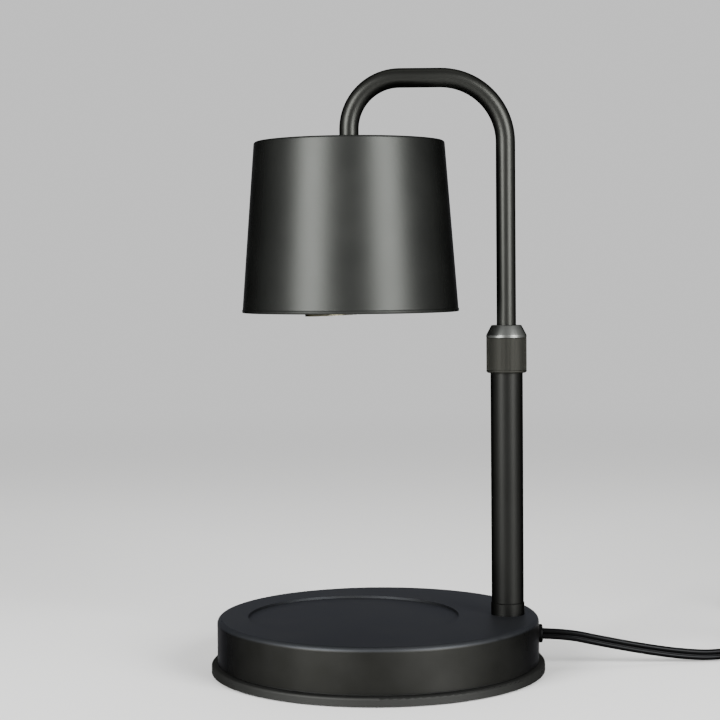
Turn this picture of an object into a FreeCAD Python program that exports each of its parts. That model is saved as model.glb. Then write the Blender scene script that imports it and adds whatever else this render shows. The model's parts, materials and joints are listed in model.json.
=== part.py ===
"""Candle warmer lamp: a round base with a candle recess, a telescopic pole with a screw collar,
a bent arm, a conical shade over a twist-in reflector bulb, and a flat cord with a dimmer and a plug.

Units are millimetres. The origin is the middle of the base on the table, +Z is up, the pole stands
towards +X and the shade hangs towards -X.
"""

import FreeCAD, Part
import math
import os
import re

import Sketcher

V = FreeCAD.Vector
UP = V(0, 0, 1)

# Driving dimensions: alias, value and what it measures.
DRIVING = [
    ("base_radius", 80, "radius of the pressed base shell"),
    ("base_height", 27, "top of the base above the table"),
    ("shell_wall", 1.2, "sheet thickness of the base shell"),
    ("cut_over", 0.5, "how far a cut begins outside the surface that it goes through"),
    ("shell_round", 2.5, "outer radius of the shell's top edge"),
    ("rim_lip", 3, "how far the base plate's rim stands out under the shell"),
    ("rim_thickness", 4.2, "thickness of that rim"),
    ("rim_round", 1.2, "rounding of the rim's upper edge"),
    ("shadow_gap", 0.9, "gap between rim and shell"),
    ("plate_step", 3.3, "height of the plate's raised middle above the rim"),
    ("pad_inset", 3, "edge of the foam foot pad inside the shell's"),
    ("pad_thickness", 1.5, "thickness of the foot pad"),
    ("pad_proud", 0.5, "how far the pad stands out of the plate"),
    ("recess_margin", 15.3, "least width of the base's top outside the candle recess"),
    ("recess_to_pole", 16.2, "from the candle recess to the pole's foot"),
    ("recess_depth", 1.2, "depth of the candle recess"),
    ("boss_radius", 4, "radius of the screw bosses inside the shell"),
    ("boss_room", 4.8, "from the screw bosses to the shell's wall"),
    ("boss_count", 4, "number of screw bosses"),
    ("plate_screw_radius", 2, "radius of the plate screws"),
    ("plate_screw_head", 3.8, "head radius of the plate screws"),
    ("plate_screw_length", 14, "length of the plate screws"),
    ("weight_inset", 6.5, "edge of the iron weight inside that of the recess"),
    ("weight_thickness", 12, "thickness of the iron weight"),
    ("weight_screw_radius", 3, "radius of the weight's screw"),
    ("weight_screw_length", 14, "length of the weight's screw"),
    ("screw_head_height", 2.2, "head height of the base's screws"),
    ("screw_recess", 0.2, "how deep their heads lie under the pad"),
    ("pole_inset", 15.2, "pole axis inside the edge of the base"),
    ("tube_radius", 8, "outer radius of the pole's outer tube"),
    ("tube_wall", 1.2, "wall of the outer tube"),
    ("tube_length", 116.7, "length of the outer tube"),
    ("foot_radius", 8.3, "radius of the turned foot ring"),
    ("foot_height", 6.3, "height of the foot ring"),
    ("foot_spigot", 8, "length of the foot's spigot in the tube"),
    ("foot_chamfer", 0.5, "chamfer at the top of the foot ring"),
    ("pipe_radius", 5, "radius of the threaded pipe that holds the pole"),
    ("pipe_bore", 3.4, "bore radius of that pipe"),
    ("pipe_tail", 0.4, "how far the pipe stands out of its nut"),
    ("pole_nut_width", 14, "width across the flats of the pole's nut"),
    ("pole_nut_height", 4, "height of the pole's nut"),
    ("pole_washer_radius", 8.5, "radius of the pole's washer"),
    ("washer_thickness", 1.2, "thickness of the pole's washer"),
    ("ferrule_spigot", 6, "length of the ferrule inside the tube"),
    ("ferrule_flange", 1.5, "height of the ferrule's flange"),
    ("ferrule_thread", 11, "height of the ferrule's threaded neck"),
    ("thread_radius", 7, "radius of the ferrule's thread"),
    ("collar_radius", 10, "radius of the knurled lock collar"),
    ("collar_height", 23.5, "height of the lock collar"),
    ("collar_cone", 4.9, "height of the collar's conical top"),
    ("collar_mouth", 7.45, "radius of the cone's upper end"),
    ("collar_skirt", 2.5, "how far the collar reaches down over the tube"),
    ("collar_chamfer", 0.5, "chamfer of the collar's lower edge"),
    ("collet_height", 6, "height of the split gripping ring"),
    ("collet_wall", 1.7, "thickest wall of the gripping ring"),
    ("collet_slit", 1.2, "width of the ring's slit"),
    ("arm_radius", 4.8, "outer radius of the arm tube"),
    ("arm_wall", 1, "wall of the arm tube"),
    ("arm_top", 293, "height of the arm's level centre line"),
    ("stud_play", 0.5, "from the shade's pipe to the arm's bend"),
    ("pole_bend", 32, "bend radius of the arm over the pole"),
    ("shade_bend", 25, "bend radius of the arm over the shade"),
    ("arm_foot", 113.5, "lower end of the arm tube inside the pole"),
    ("guide_length", 10, "length of the sliding bush"),
    ("ring_height", 1.5, "height of the rings either side of the bush"),
    ("ring_radius", 6.2, "radius of those rings"),
    ("running_gap", 0.06, "radial clearance of a sliding or turning fit"),
    ("seat_gap", 0.3, "clearance between neighbours that only lie close"),
    ("bracket_rise", 14.5, "height of the holder's bracket"),
    ("shade_taper", 6.6, "how much wider the shade's mouth is than its top, in radius"),
    ("shade_bottom_radius", 53.6, "outer radius of the shade's mouth"),
    ("shade_wall", 0.9, "sheet thickness of the shade"),
    ("shade_round", 1.1, "rounding of the shade's top edge"),
    ("hem_height", 1.6, "height of the rolled hem at the mouth"),
    ("hem_wall", 1.8, "thickness of the rolled hem"),
    ("stud_bore", 2.6, "bore radius of the pipe that holds the shade"),
    ("stud_grip", 5.5, "how far that pipe reaches into the arm"),
    ("stud_tail", 1, "how far that pipe stands out of its nut"),
    ("shade_nut_width", 12, "width across the flats of the shade's nut"),
    ("shade_nut_height", 3.6, "height of the shade's nut"),
    ("shade_washer", 0.8, "thickness of the washer over that nut, within its height"),
    ("bracket_thickness", 1.2, "sheet thickness of the holder's bracket"),
    ("bracket_width", 12, "width of the bracket"),
    ("bracket_span", 27, "outer span of the bracket"),
    ("bracket_foot", 8, "length of the bracket's two feet"),
    ("holder_radius", 14, "radius of the ceramic lamp holder"),
    ("holder_height", 22, "height of the ceramic lamp holder"),
    ("holder_round", 1.2, "rounding of the holder's mouth"),
    ("holder_screw_radius", 1.5, "radius of the holder's screws"),
    ("holder_screw_head", 2.7, "head radius of the holder's screws"),
    ("holder_screw_rise", 1.2, "head height of the holder's screws"),
    ("holder_screw_grip", 5, "how far they reach into the holder"),
    ("pin_circle", 5, "distance of the bulb's pins from its axis"),
    ("pin_radius", 1.6, "radius of a pin's shank"),
    ("pin_head", 2.5, "radius of a pin's head"),
    ("pin_length", 7, "length of a pin"),
    ("pin_head_height", 2.4, "height of a pin's head"),
    ("contact_radius", 2.3, "radius of the holder's contacts"),
    ("contact_height", 4, "height of the holder's contacts"),
    ("contact_cup", 2, "height of a contact's wide part"),
    ("pin_room", 0.5, "clearance round the pins in the holder"),
    ("entry_room", 0.4, "clearance round a pin's head where it enters the holder"),
    ("twist_angle", 20, "turn that locks the bulb, in degrees"),
    ("bulb_length", 47, "bulb from its shoulder to its front"),
    ("bulb_radius", 25, "radius of the bulb's front rim"),
    ("bulb_neck", 13, "radius of the bulb's base"),
    ("bulb_hang", 0.8, "gap between the bulb and its holder"),
    ("bulb_tilt", 3, "lean of the bulb in its holder, in degrees"),
    ("bulb_below", 1.4, "how far the bulb's middle shows under the shade"),
    ("neck_length", 13, "length of the bulb's base"),
    ("neck_chamfer", 2, "chamfer at the bulb's shoulder"),
    ("rim_length", 4, "height of the bulb's front rim"),
    ("rim_step", 0.8, "how far the bulb's rim stands out of its reflector"),
    ("rim_taper", 0.6, "height of the slope between them"),
    ("lens_inset", 0.6, "how far the bulb's lens stands out of its rim"),
    ("lens_edge", 3, "back of the lens behind its front, at the edge"),
    ("lens_middle", 2.6, "back of the lens behind its front, in the middle"),
    ("glass_wall", 1.2, "wall of the bulb's reflector"),
    ("capsule_stem", 3.2, "radius of the lamp capsule's stem"),
    ("capsule_neck", 6, "length of that stem"),
    ("capsule_radius", 4.5, "radius of the lamp capsule"),
    ("capsule_length", 22, "length of the capsule with its stem"),
    ("lead_radius", 2.1, "radius of the sheathed lead in the pole and arm"),
    ("lead_tail", 1, "how far that lead hangs under the pole's pipe"),
    ("wire_radius", 0.9, "radius of a single wire"),
    ("wire_pair", 1.1, "distance of a holder's wire from the pipe's axis"),
    ("wire_drop", 2.5, "how far those wires hang straight down"),
    ("wire_fan", 6, "depth at which they are over the contacts"),
    ("connector_radius", 3.5, "radius of a wire connector"),
    ("connector_length", 16, "length of a wire connector"),
    ("connector_gap", 0.1, "gap between a wire connector and the plate"),
    ("connector_spread", 15, "distance of a wire connector from the middle line"),
    ("connector_back", 16, "mouths of the wire connectors behind the pole's axis"),
    ("wire_spread", 1.3, "distance of a wire in its connector from the connector's axis"),
    ("wire_bend", 7, "length of a wire's bend"),
    ("cord_width", 5.5, "width of the flat twin cord, the tube's diameter"),
    ("cord_height", 17, "height of the cord's exit from the base"),
    ("grommet_radius", 4.6, "flange radius of the cord's bushing"),
    ("grommet_neck", 3.9, "radius of the hole in the base for it"),
    ("grommet_flange", 2, "thickness of its outer flange"),
    ("grommet_round", 0.8, "rounding of that flange"),
    ("grommet_tail", 4, "length of the bushing inside the base"),
    ("coil_radius", 40, "outermost centre line radius of the cord coil"),
    ("coil_turns", 6, "turns in the cord coil"),
    ("coil_gap", 0.55, "gap between neighbouring turns"),
    ("tie_thickness", 0.6, "thickness of the tie round the coil"),
    ("tie_play", 0.1, "clearance between the coil and its tie"),
    ("tie_width", 12, "width of the tie"),
    ("tie_angle", 215, "place of the tie round the coil, in degrees"),
    ("case_length", 50, "length of the dimmer's case"),
    ("case_width", 28, "width of the dimmer's case"),
    ("case_height", 20, "height of the dimmer's case"),
    ("case_wall", 1.6, "wall of the dimmer's case"),
    ("case_round", 3, "rounding of the case"),
    ("channel_room", 0.35, "clearance of the cord in the case"),
    ("case_split", 8, "height of the case's parting line and of the cord in it"),
    ("case_screw_radius", 1.3, "radius of the case's screws"),
    ("case_screw_head", 2.6, "head radius of the case's screws"),
    ("case_screw_rise", 1.6, "height of those heads"),
    ("case_screw_sink", 0.2, "how deep they lie in the case"),
    ("case_screw_grip", 5, "how far the screws reach over the parting line"),
    ("screw_play", 0.1, "clearance round a small screw in its hole"),
    ("post_radius", 3, "radius of the screw posts in the case"),
    ("post_inset", 5, "screw posts inside the case's outer faces"),
    ("board_length", 30, "length of the dimmer's board"),
    ("board_width", 22, "width of the dimmer's board"),
    ("board_thickness", 1.2, "thickness of the dimmer's board"),
    ("board_gap", 0.45, "from the cord to the board over it"),
    ("fork_place", 10, "distance of the contact forks from the dimmer's middle"),
    ("fork_thickness", 0.8, "thickness of a contact fork"),
    ("fork_reach", 4.5, "half width of a fork"),
    ("fork_foot", 3.5, "lower edge of the forks"),
    ("pot_radius", 6.5, "radius of the dimmer's potentiometer"),
    ("pot_height", 5.7, "height of the potentiometer"),
    ("shaft_radius", 3, "radius of the potentiometer's shaft"),
    ("shaft_rise", 5, "how far the shaft stands out of the case"),
    ("knob_radius", 10, "radius of the dimmer's knob"),
    ("knob_height", 7.5, "height of the dimmer's knob"),
    ("knob_gap", 0.5, "gap between the knob and the case"),
    ("knob_chamfer", 1, "chamfer of the knob's upper edge"),
    ("knob_flutes", 18, "number of flutes round the knob"),
    ("flute_radius", 0.9, "radius of a flute"),
    ("flute_rise", 0.3, "its centre outside the knob's radius"),
    ("mark_depth", 0.4, "depth of the line that shows the knob's turn"),
    ("mark_width", 0.8, "width of that line"),
    ("mark_start", 3.5, "its inner end from the knob's axis"),
    ("mark_end", 8, "its outer end from the knob's axis"),
    ("plug_width", 22, "width of the plug's body"),
    ("plug_height", 15, "height of the plug's body"),
    ("plug_length", 24, "length of the plug's body"),
    ("plug_round", 3, "rounding of the plug's body"),
    ("plug_shoulder", 2, "rounding round the plug's back"),
    ("relief_length", 20, "length of the plug's strain relief"),
    ("relief_wall", 0.5, "wall of the relief's thin end over the cord"),
    ("relief_thick", 5.7, "radius of the relief's thick end"),
    ("blade_spacing", 12.7, "distance between the two blades"),
    ("blade_width", 6.4, "width of a blade"),
    ("blade_thickness", 1.5, "thickness of a blade"),
    ("blade_length", 16, "length of a blade outside the plug"),
]

# Degrees in a radian, the spare arc of the pins' rooms, and the power of the reflector's curve.
RADIAN = 57.3
CHORD_ROOM = 1.1
REFLECTOR_CURVE = 0.6

# Sizes that follow from the driving ones.
DERIVED = [
    ("rim_radius", "base_radius + rim_lip"),
    ("pad_radius", "base_radius - pad_inset"),
    ("pole_offset", "base_radius - pole_inset"),
    ("recess_radius", "(base_radius + pole_offset - foot_radius - recess_margin - recess_to_pole) / 2"),
    ("arm_reach", "recess_radius + recess_to_pole + foot_radius"),
    ("boss_circle", "base_radius - shell_wall - boss_room - boss_radius"),
    ("weight_radius", "recess_radius - weight_inset"),
    ("rim_top", "pad_proud + rim_thickness"),
    ("floor_inside", "rim_top + plate_step"),
    ("shell_bottom", "rim_top + shadow_gap"),
    ("shell_inner", "base_radius - shell_wall"),
    ("shell_ceiling", "base_height - shell_wall"),
    ("shade_axis", "pole_offset - arm_reach"),
    ("tube_bore", "tube_radius - tube_wall"),
    ("tube_foot", "base_height + foot_height"),
    ("tube_top", "tube_foot + tube_length"),
    ("washer_foot", "shell_ceiling - washer_thickness"),
    ("nut_foot", "washer_foot - pole_nut_height"),
    ("pipe_foot", "nut_foot - pipe_tail"),
    ("ferrule_neck", "tube_top + ferrule_flange"),
    ("ferrule_top", "ferrule_neck + ferrule_thread"),
    ("collar_foot", "tube_top - collar_skirt"),
    ("collar_top", "collar_foot + collar_height"),
    ("screw_sink_depth", "screw_head_height + screw_recess"),
    ("arm_bore", "arm_radius - arm_wall"),
    ("stud_radius", "arm_bore"),
    ("arm_sleeve", "arm_radius + running_gap"),
    ("collet_foot", "ferrule_top + running_gap"),
    ("collet_top", "collet_foot + collet_height"),
    ("collet_radius", "arm_sleeve + collet_wall"),
    ("guide_foot", "arm_foot + ring_height"),
    ("guide_top", "guide_foot + guide_length"),
    ("shade_top", "arm_top - shade_bend - stud_grip - stud_play"),
    ("shade_height", "shade_wall + bracket_rise + holder_height + bulb_hang + bulb_length"
                     " - bulb_below"),
    ("shade_top_radius", "shade_bottom_radius - shade_taper"),
    ("shade_foot", "shade_top - shade_height"),
    ("shade_ceiling", "shade_top - shade_wall"),
    ("bracket_under", "shade_ceiling - bracket_thickness"),
    ("shade_nut_foot", "bracket_under - shade_nut_height"),
    ("stud_foot", "shade_nut_foot - stud_tail"),
    ("bulb_shoulder", "shade_foot - bulb_below + bulb_length"),
    ("holder_foot", "bulb_shoulder + bulb_hang"),
    ("holder_top", "holder_foot + holder_height"),
    ("slot_depth", "pin_length - pin_head_height - bulb_hang - pin_room"),
    ("contact_foot", "holder_foot + pin_length + pin_room + seat_gap"),
    ("lead_foot", "pipe_foot - lead_tail"),
    ("cord_radius", "cord_width / 2"),
    ("coil_pitch", "cord_width + coil_gap"),
    ("coil_floor", "tie_thickness + tie_play + cord_radius"),
    ("coil_inner", "coil_radius - coil_pitch * coil_turns / 2"),
    ("tie_inner", "coil_inner - cord_radius - tie_width ^ 2 / 8 / coil_inner - seat_gap"),
    ("tie_outer", "coil_radius + cord_radius + seat_gap"),
    ("tie_top", "coil_floor + coil_pitch + cord_radius + tie_play"),
    ("board_foot", "case_split + cord_radius + board_gap"),
    ("board_top", "board_foot + board_thickness"),
    ("pot_top", "board_top + pot_height"),
    ("knob_foot", "case_height + knob_gap"),
]

doc = FreeCAD.newDocument("candle_warmer_lamp")
sheet = doc.addObject("Spreadsheet::Sheet", "sizes")
ALIASES = set()


def fill_sheet():
    """Write the driving dimensions as plain numbers and the derived ones as formulas."""
    rows = [(name, str(number), note) for name, number, note in DRIVING]
    rows += [(name, "=" + formula, "follows") for name, formula in DERIVED]
    for row, (name, text, note) in enumerate(rows, 1):
        sheet.set(f"A{row}", note)
        sheet.set(f"B{row}", text)
        sheet.setAlias(f"B{row}", name)
        ALIASES.add(name)
    doc.recompute()


def linked(expression):
    """Turn an expression on aliases into one that another object can use."""
    def name(match):
        return "sizes." + match.group(0) if match.group(0) in ALIASES else match.group(0)
    return re.sub(r"[a-z_]+", name, str(expression))


def size(expression):
    """Return an expression's present value as a number."""
    result = sheet.evalExpression(str(expression))
    return float(getattr(result, "Value", result))


class Piece:
    """One sub-part: a body whose sketches and features are bound to the sheet."""

    def __init__(self, label):
        self.body = doc.addObject("PartDesign::Body", label)
        self.body.Label = label

    def plane(self, role):
        """Return the body's own origin plane with that role."""
        return next(f for f in self.body.Origin.OriginFeatures if f.Role == role)

    def sketch(self, role, offset="0", turn="0"):
        """Attach a new sketch to an origin plane, moved along its normal and turned about Z."""
        made = self.body.newObject("Sketcher::SketchObject", "Sketch")
        made.AttachmentSupport = (self.plane(role), [""])
        made.MapMode = "FlatFace"
        if str(turn) != "0":
            made.AttachmentOffset = FreeCAD.Placement(V(), FreeCAD.Rotation(V(0, 1, 0), 0.001))
            made.setExpression("AttachmentOffset.Rotation.Angle", linked(turn))
        if str(offset) != "0":
            made.setExpression("AttachmentOffset.Base.z", linked(offset))
        return made

    @staticmethod
    def pin_point(sketch, item, end, across, along):
        """Hold one point of a sketch at a distance from its origin in both directions."""
        for kind, expression in (("DistanceX", across), ("DistanceY", along)):
            index = sketch.addConstraint(
                Sketcher.Constraint(kind, -1, 1, item, end, size(expression)))
            sketch.setExpression(f"Constraints[{index}]", linked(expression))

    def add_polygon(self, sketch, points):
        """Draw a closed outline with a corner at each pair of expressions."""
        first = sketch.GeometryCount
        corners = [V(size(x), size(y), 0) for x, y in points]
        for start, end in zip(corners, corners[1:] + corners[:1]):
            sketch.addGeometry(Part.LineSegment(start, end), False)
        count = len(points)
        for i in range(count):
            sketch.addConstraint(
                Sketcher.Constraint("Coincident", first + i, 2, first + (i + 1) % count, 1))
        for i, (across, along) in enumerate(points):
            self.pin_point(sketch, first + i, 1, across, along)

    def add_circle(self, sketch, across, along, radius):
        """Draw a circle with its middle and radius given by expressions."""
        middle = V(size(across), size(along), 0)
        item = sketch.addGeometry(Part.Circle(middle, UP, size(radius)), False)
        self.pin_point(sketch, item, 3, across, along)
        index = sketch.addConstraint(Sketcher.Constraint("Radius", item, size(radius)))
        sketch.setExpression(f"Constraints[{index}]", linked(radius))

    def feature(self, kind, sketch):
        """Add a sketched feature of that kind."""
        made = self.body.newObject("PartDesign::" + kind, kind)
        made.Profile = sketch
        sketch.Visibility = False
        return made

    def turned(self, points):
        """Revolve an outline of (radius, height) pairs about the piece's Z axis."""
        sketch = self.sketch("XZ_Plane")
        self.add_polygon(sketch, points)
        made = self.feature("Revolution", sketch)
        made.ReferenceAxis = (sketch, ["V_Axis"])
        made.Angle = 360
        doc.recompute()
        return made

    def grooved(self, points, angle="360", turn="0"):
        """Cut an outline of (radius, height) pairs about Z, over an angle centred on turn."""
        before = self.volume()
        sketch = self.sketch("XZ_Plane", turn=turn)
        self.add_polygon(sketch, points)
        made = self.feature("Groove", sketch)
        made.ReferenceAxis = (sketch, ["V_Axis"])
        made.Midplane = True
        made.setExpression("Angle", linked(angle))
        doc.recompute()
        self.must_cut(before)
        return made

    def padded(self, length, circles=(), polygons=(), role="XY_Plane", offset="0", both=False):
        """Extrude circles and polygons along the plane's normal."""
        sketch = self.sketch(role, offset)
        for circle in circles:
            self.add_circle(sketch, *circle)
        for polygon in polygons:
            self.add_polygon(sketch, polygon)
        made = self.feature("Pad", sketch)
        made.setExpression("Length", linked(length))
        made.Midplane = both
        doc.recompute()
        return made

    def pocketed(self, depth, circles=(), polygons=(), role="XY_Plane", offset="0", both=False):
        """Cut circles and polygons against the plane's normal."""
        before = self.volume()
        sketch = self.sketch(role, offset)
        for circle in circles:
            self.add_circle(sketch, *circle)
        for polygon in polygons:
            self.add_polygon(sketch, polygon)
        made = self.feature("Pocket", sketch)
        made.setExpression("Length", linked(depth))
        made.Midplane = both
        doc.recompute()
        self.must_cut(before)
        return made

    def repeated(self, features, count):
        """Repeat features evenly round the piece's Z axis."""
        made = self.body.newObject("PartDesign::PolarPattern", "PolarPattern")
        made.Originals = features
        made.Axis = (features[0].Profile[0], ["V_Axis"] if self.stands(features[0]) else ["N_Axis"])
        made.Angle = 360
        made.setExpression("Occurrences", linked(count))
        self.body.Tip = made
        doc.recompute()
        return made

    @staticmethod
    def stands(feature):
        """Tell whether a feature's sketch lies on the upright plane."""
        return feature.Profile[0].AttachmentSupport[0][0].Role == "XZ_Plane"

    def rounded(self, radius, chosen, kind="Fillet"):
        """Round or chamfer the edges that a test picks."""
        base = self.body.Tip
        names = [f"Edge{i}" for i, edge in enumerate(base.Shape.Edges, 1) if chosen(edge)]
        if not names:
            raise RuntimeError(f"{self.body.Label}: no edge to round")
        made = self.body.newObject("PartDesign::" + kind, kind)
        made.Base = (base, names)
        made.setExpression("Radius" if kind == "Fillet" else "Size", linked(radius))
        doc.recompute()
        return made

    def volume(self):
        """Return the present volume."""
        doc.recompute()
        return self.body.Tip.Shape.Volume

    def must_cut(self, before):
        """Make sure that the last feature took material away."""
        if not self.body.Tip.Shape.Volume < before - 1e-6:
            raise RuntimeError(f"{self.body.Label}: a cut removed nothing")

    def placed(self, across="0", deep="0", high="0"):
        """Bind the piece's place to the sheet."""
        for axis, expression in (("x", across), ("y", deep), ("z", high)):
            if str(expression) != "0":
                self.body.setExpression("Placement.Base." + axis, linked(expression))
        return self


def circle_at(height, radius, slack=0.01):
    """Return a test for round edges of that radius at that height."""
    level = size(height)
    width = size(radius)

    def chosen(edge):
        curve = edge.Curve
        return (isinstance(curve, Part.Circle) and abs(curve.Radius - width) < slack
                and abs(edge.BoundBox.ZMin - level) < slack
                and abs(edge.BoundBox.ZMax - level) < slack)
    return chosen


def upright(edge):
    """Pick straight edges along Z."""
    return isinstance(edge.Curve, Part.Line) and edge.BoundBox.XLength + edge.BoundBox.YLength < 0.01


def rectangle(low_x, low_y, high_x, high_y):
    """Return the corners of a rectangle."""
    return [(low_x, low_y), (high_x, low_y), (high_x, high_y), (low_x, high_y)]


def ring(inner, outer, low, high):
    """Return the outline of a plain ring for turning."""
    return [(inner, low), (outer, low), (outer, high), (inner, high)]


def hexagon(width):
    """Return the corners of a hexagon of that width across its flats."""
    corners = []
    for i in range(6):
        angle = 60 * i
        reach = f"{width} / 2 / cos(30)"
        corners.append((f"{reach} * cos({angle})", f"{reach} * sin({angle})"))
    return corners


def keep_shape(label, shape):
    """Add a piece whose shape is made by functions."""
    made = doc.addObject("Part::Feature", label)
    made.Label = label
    made.Shape = shape
    return made


# Tubes along routes of straight runs and arcs

def rounded_route(points, share=0.45):
    """Join straight runs by tangent arcs; each arc takes a share of its shorter run."""
    edges = []
    radii = []
    start = points[0]
    for before, corner, after in zip(points, points[1:], points[2:]):
        come = (corner - before).normalize()
        leave = (after - corner).normalize()
        reach = share * min(corner.distanceToPoint(before), corner.distanceToPoint(after))
        half = come.getAngle(leave) / 2
        radii.append(reach / math.tan(half))
        enter = corner - come * reach
        quit_at = corner + leave * reach
        edges.append(Part.LineSegment(start, enter).toShape())
        edges.append(arc_between(enter, corner, quit_at))
        start = quit_at
    edges.append(Part.LineSegment(start, points[-1]).toShape())
    return Part.Wire(edges), radii


def arc_between(start, apex, end):
    """Return the arc from start to end whose two tangents meet at the apex."""
    middle = (start + end) * 0.5
    cosine = start.distanceToPoint(middle) / start.distanceToPoint(apex)
    top = middle + (apex - middle) * (cosine / (1 + cosine))
    return Part.Arc(start, top, end).toShape()


def biarc(start, start_way, end, end_way):
    """Return two arcs that join two points with given directions."""
    span = end - start
    ways = start_way + end_way
    spread = 1 - start_way.dot(end_way)
    along = span.dot(ways)
    if spread < 1e-9:
        reach = span.dot(span) / (2 * along)
    else:
        reach = (math.sqrt(along ** 2 + 2 * spread * span.dot(span)) - along) / (2 * spread)
    first = start + start_way * reach
    second = end - end_way * reach
    joint = (first + second) * 0.5
    return [arc_between(start, first, joint), arc_between(joint, second, end)]


def tube_solid(wire, radius, name):
    """Sweep a circle along a wire and compare the volume with section times length."""
    start = wire.OrderedEdges[0]
    way = start.tangentAt(start.FirstParameter)
    circle = Part.Wire(Part.makeCircle(radius, start.valueAt(start.FirstParameter), way))
    shell = Part.BRepOffsetAPI.MakePipeShell(wire)
    shell.add(circle, False, False)
    shell.build()
    shell.makeSolid()
    solid = shell.shape()
    wanted = math.pi * radius ** 2 * wire.Length
    print(f"{name}: length {wire.Length:.1f}, volume over section times length "
          f"{solid.Volume / wanted:.5f}")
    return solid


def routed_tube(points, radius, name):
    """Return a tube along hand-chosen points and print its arc radii."""
    wire, radii = rounded_route(points)
    print(f"{name}: radii " + " ".join(f"{r:.1f}" for r in radii))
    return tube_solid(wire, radius, name)


# The base

def base_shell():
    """Pressed shell with an off-centre candle recess, four screw bosses and a cord hole."""
    shell = Piece("base_shell")
    shell.turned([
        ("shell_inner", "shell_bottom"), ("base_radius", "shell_bottom"),
        ("base_radius", "base_height"), ("0", "base_height"),
        ("0", "shell_ceiling"), ("shell_inner", "shell_ceiling"),
    ])
    shell.padded("shell_wall + recess_depth", offset="base_height - shell_wall - recess_depth",
                 circles=[("shade_axis", "0", "recess_radius + shell_wall")])
    shell.pocketed("recess_depth", offset="base_height",
                   circles=[("shade_axis", "0", "recess_radius")])
    spot = "boss_circle * cos(45)"
    boss = shell.padded("shell_ceiling - floor_inside", offset="floor_inside",
                        circles=[(spot, spot, "boss_radius")])
    shell.repeated([boss], "boss_count")
    hole = shell.pocketed("plate_screw_length", offset="floor_inside + plate_screw_length - 3",
                          circles=[(spot, spot, "plate_screw_radius")])
    shell.repeated([hole], "boss_count")
    shell.pocketed("shell_wall * 2", role="YZ_Plane", offset="base_radius + 0.2",
                   circles=[("0", "cord_height", "grommet_neck")])
    shell.pocketed("shell_wall + 1", offset="base_height + 1",
                   circles=[("pole_offset", "0", "pipe_radius + seat_gap")])
    shell.rounded("shell_round", circle_at("base_height", "base_radius"))
    return shell


def base_plate():
    """Plate with the visible rim, a raised middle, a pad recess and countersunk screw holes."""
    plate = Piece("base_plate")
    plate.turned([
        ("0", "pad_thickness"), ("pad_radius + seat_gap", "pad_thickness"),
        ("pad_radius + seat_gap", "pad_proud"), ("rim_radius", "pad_proud"),
        ("rim_radius", "rim_top"), ("shell_inner - seat_gap", "rim_top"),
        ("shell_inner - seat_gap", "floor_inside"), ("0", "floor_inside"),
    ])
    spot = "boss_circle * cos(45)"
    hole = plate.pocketed("floor_inside", offset="floor_inside",
                          circles=[(spot, spot, "plate_screw_radius + seat_gap")])
    plate.repeated([hole], "boss_count")
    sink = plate.pocketed("screw_sink_depth", offset="pad_thickness + screw_sink_depth",
                          circles=[(spot, spot, "plate_screw_head + seat_gap")])
    plate.repeated([sink], "boss_count")
    plate.pocketed("floor_inside", offset="floor_inside",
                   circles=[("shade_axis", "0", "weight_screw_radius + seat_gap")])
    plate.pocketed("screw_sink_depth", offset="pad_thickness + screw_sink_depth",
                   circles=[("shade_axis", "0", "weight_screw_radius * 1.8 + seat_gap")])
    plate.rounded("rim_round", circle_at("rim_top", "rim_radius"))
    return plate


def screw_outline(radius, head, head_height, foot, length):
    """Return a screw's outline for turning: a low head below a plain shank."""
    return [("0", foot), (head, foot), (head, f"{foot} + {head_height}"),
            (radius, f"{foot} + {head_height}"), (radius, f"{foot} + {length}"),
            ("0", f"{foot} + {length}")]


def copies_round_z(label, piece, across, deep, count, first_angle=0):
    """Return one node that holds evenly turned copies of a piece's solid."""
    solids = []
    for i in range(count):
        copy = piece.body.Shape.copy()
        copy.Placement = FreeCAD.Placement()
        copy.translate(V(across, deep, 0))
        copy.rotate(V(), UP, first_angle + 360 / count * i)
        solids.append(copy)
    doc.removeObject(piece.body.Name)
    return keep_shape(label, Part.makeCompound(solids))


def base_inside():
    """Foot pad, screws and weight."""
    pad = Piece("foot_pad")
    pad.turned(ring("0", "pad_radius", "0", "pad_thickness"))
    screw = Piece("plate_screw")
    screw.turned(screw_outline("plate_screw_radius", "plate_screw_head", "screw_head_height",
                               "pad_thickness + screw_recess", "plate_screw_length"))
    copies_round_z("plate_screws", screw, size("boss_circle"), 0, int(size("boss_count")), 45)
    weight = Piece("base_weight")
    weight.turned(ring("weight_screw_radius", "weight_radius", "0", "weight_thickness"))
    weight.rounded("1", circle_at("weight_thickness", "weight_radius"))
    weight.placed("shade_axis", "0", "floor_inside")
    bolt = Piece("weight_screw")
    bolt.turned(screw_outline("weight_screw_radius", "weight_screw_radius * 1.8",
                              "screw_head_height", "0", "weight_screw_length"))
    bolt.placed("shade_axis", "0", "pad_thickness + screw_recess")


# The pole

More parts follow.
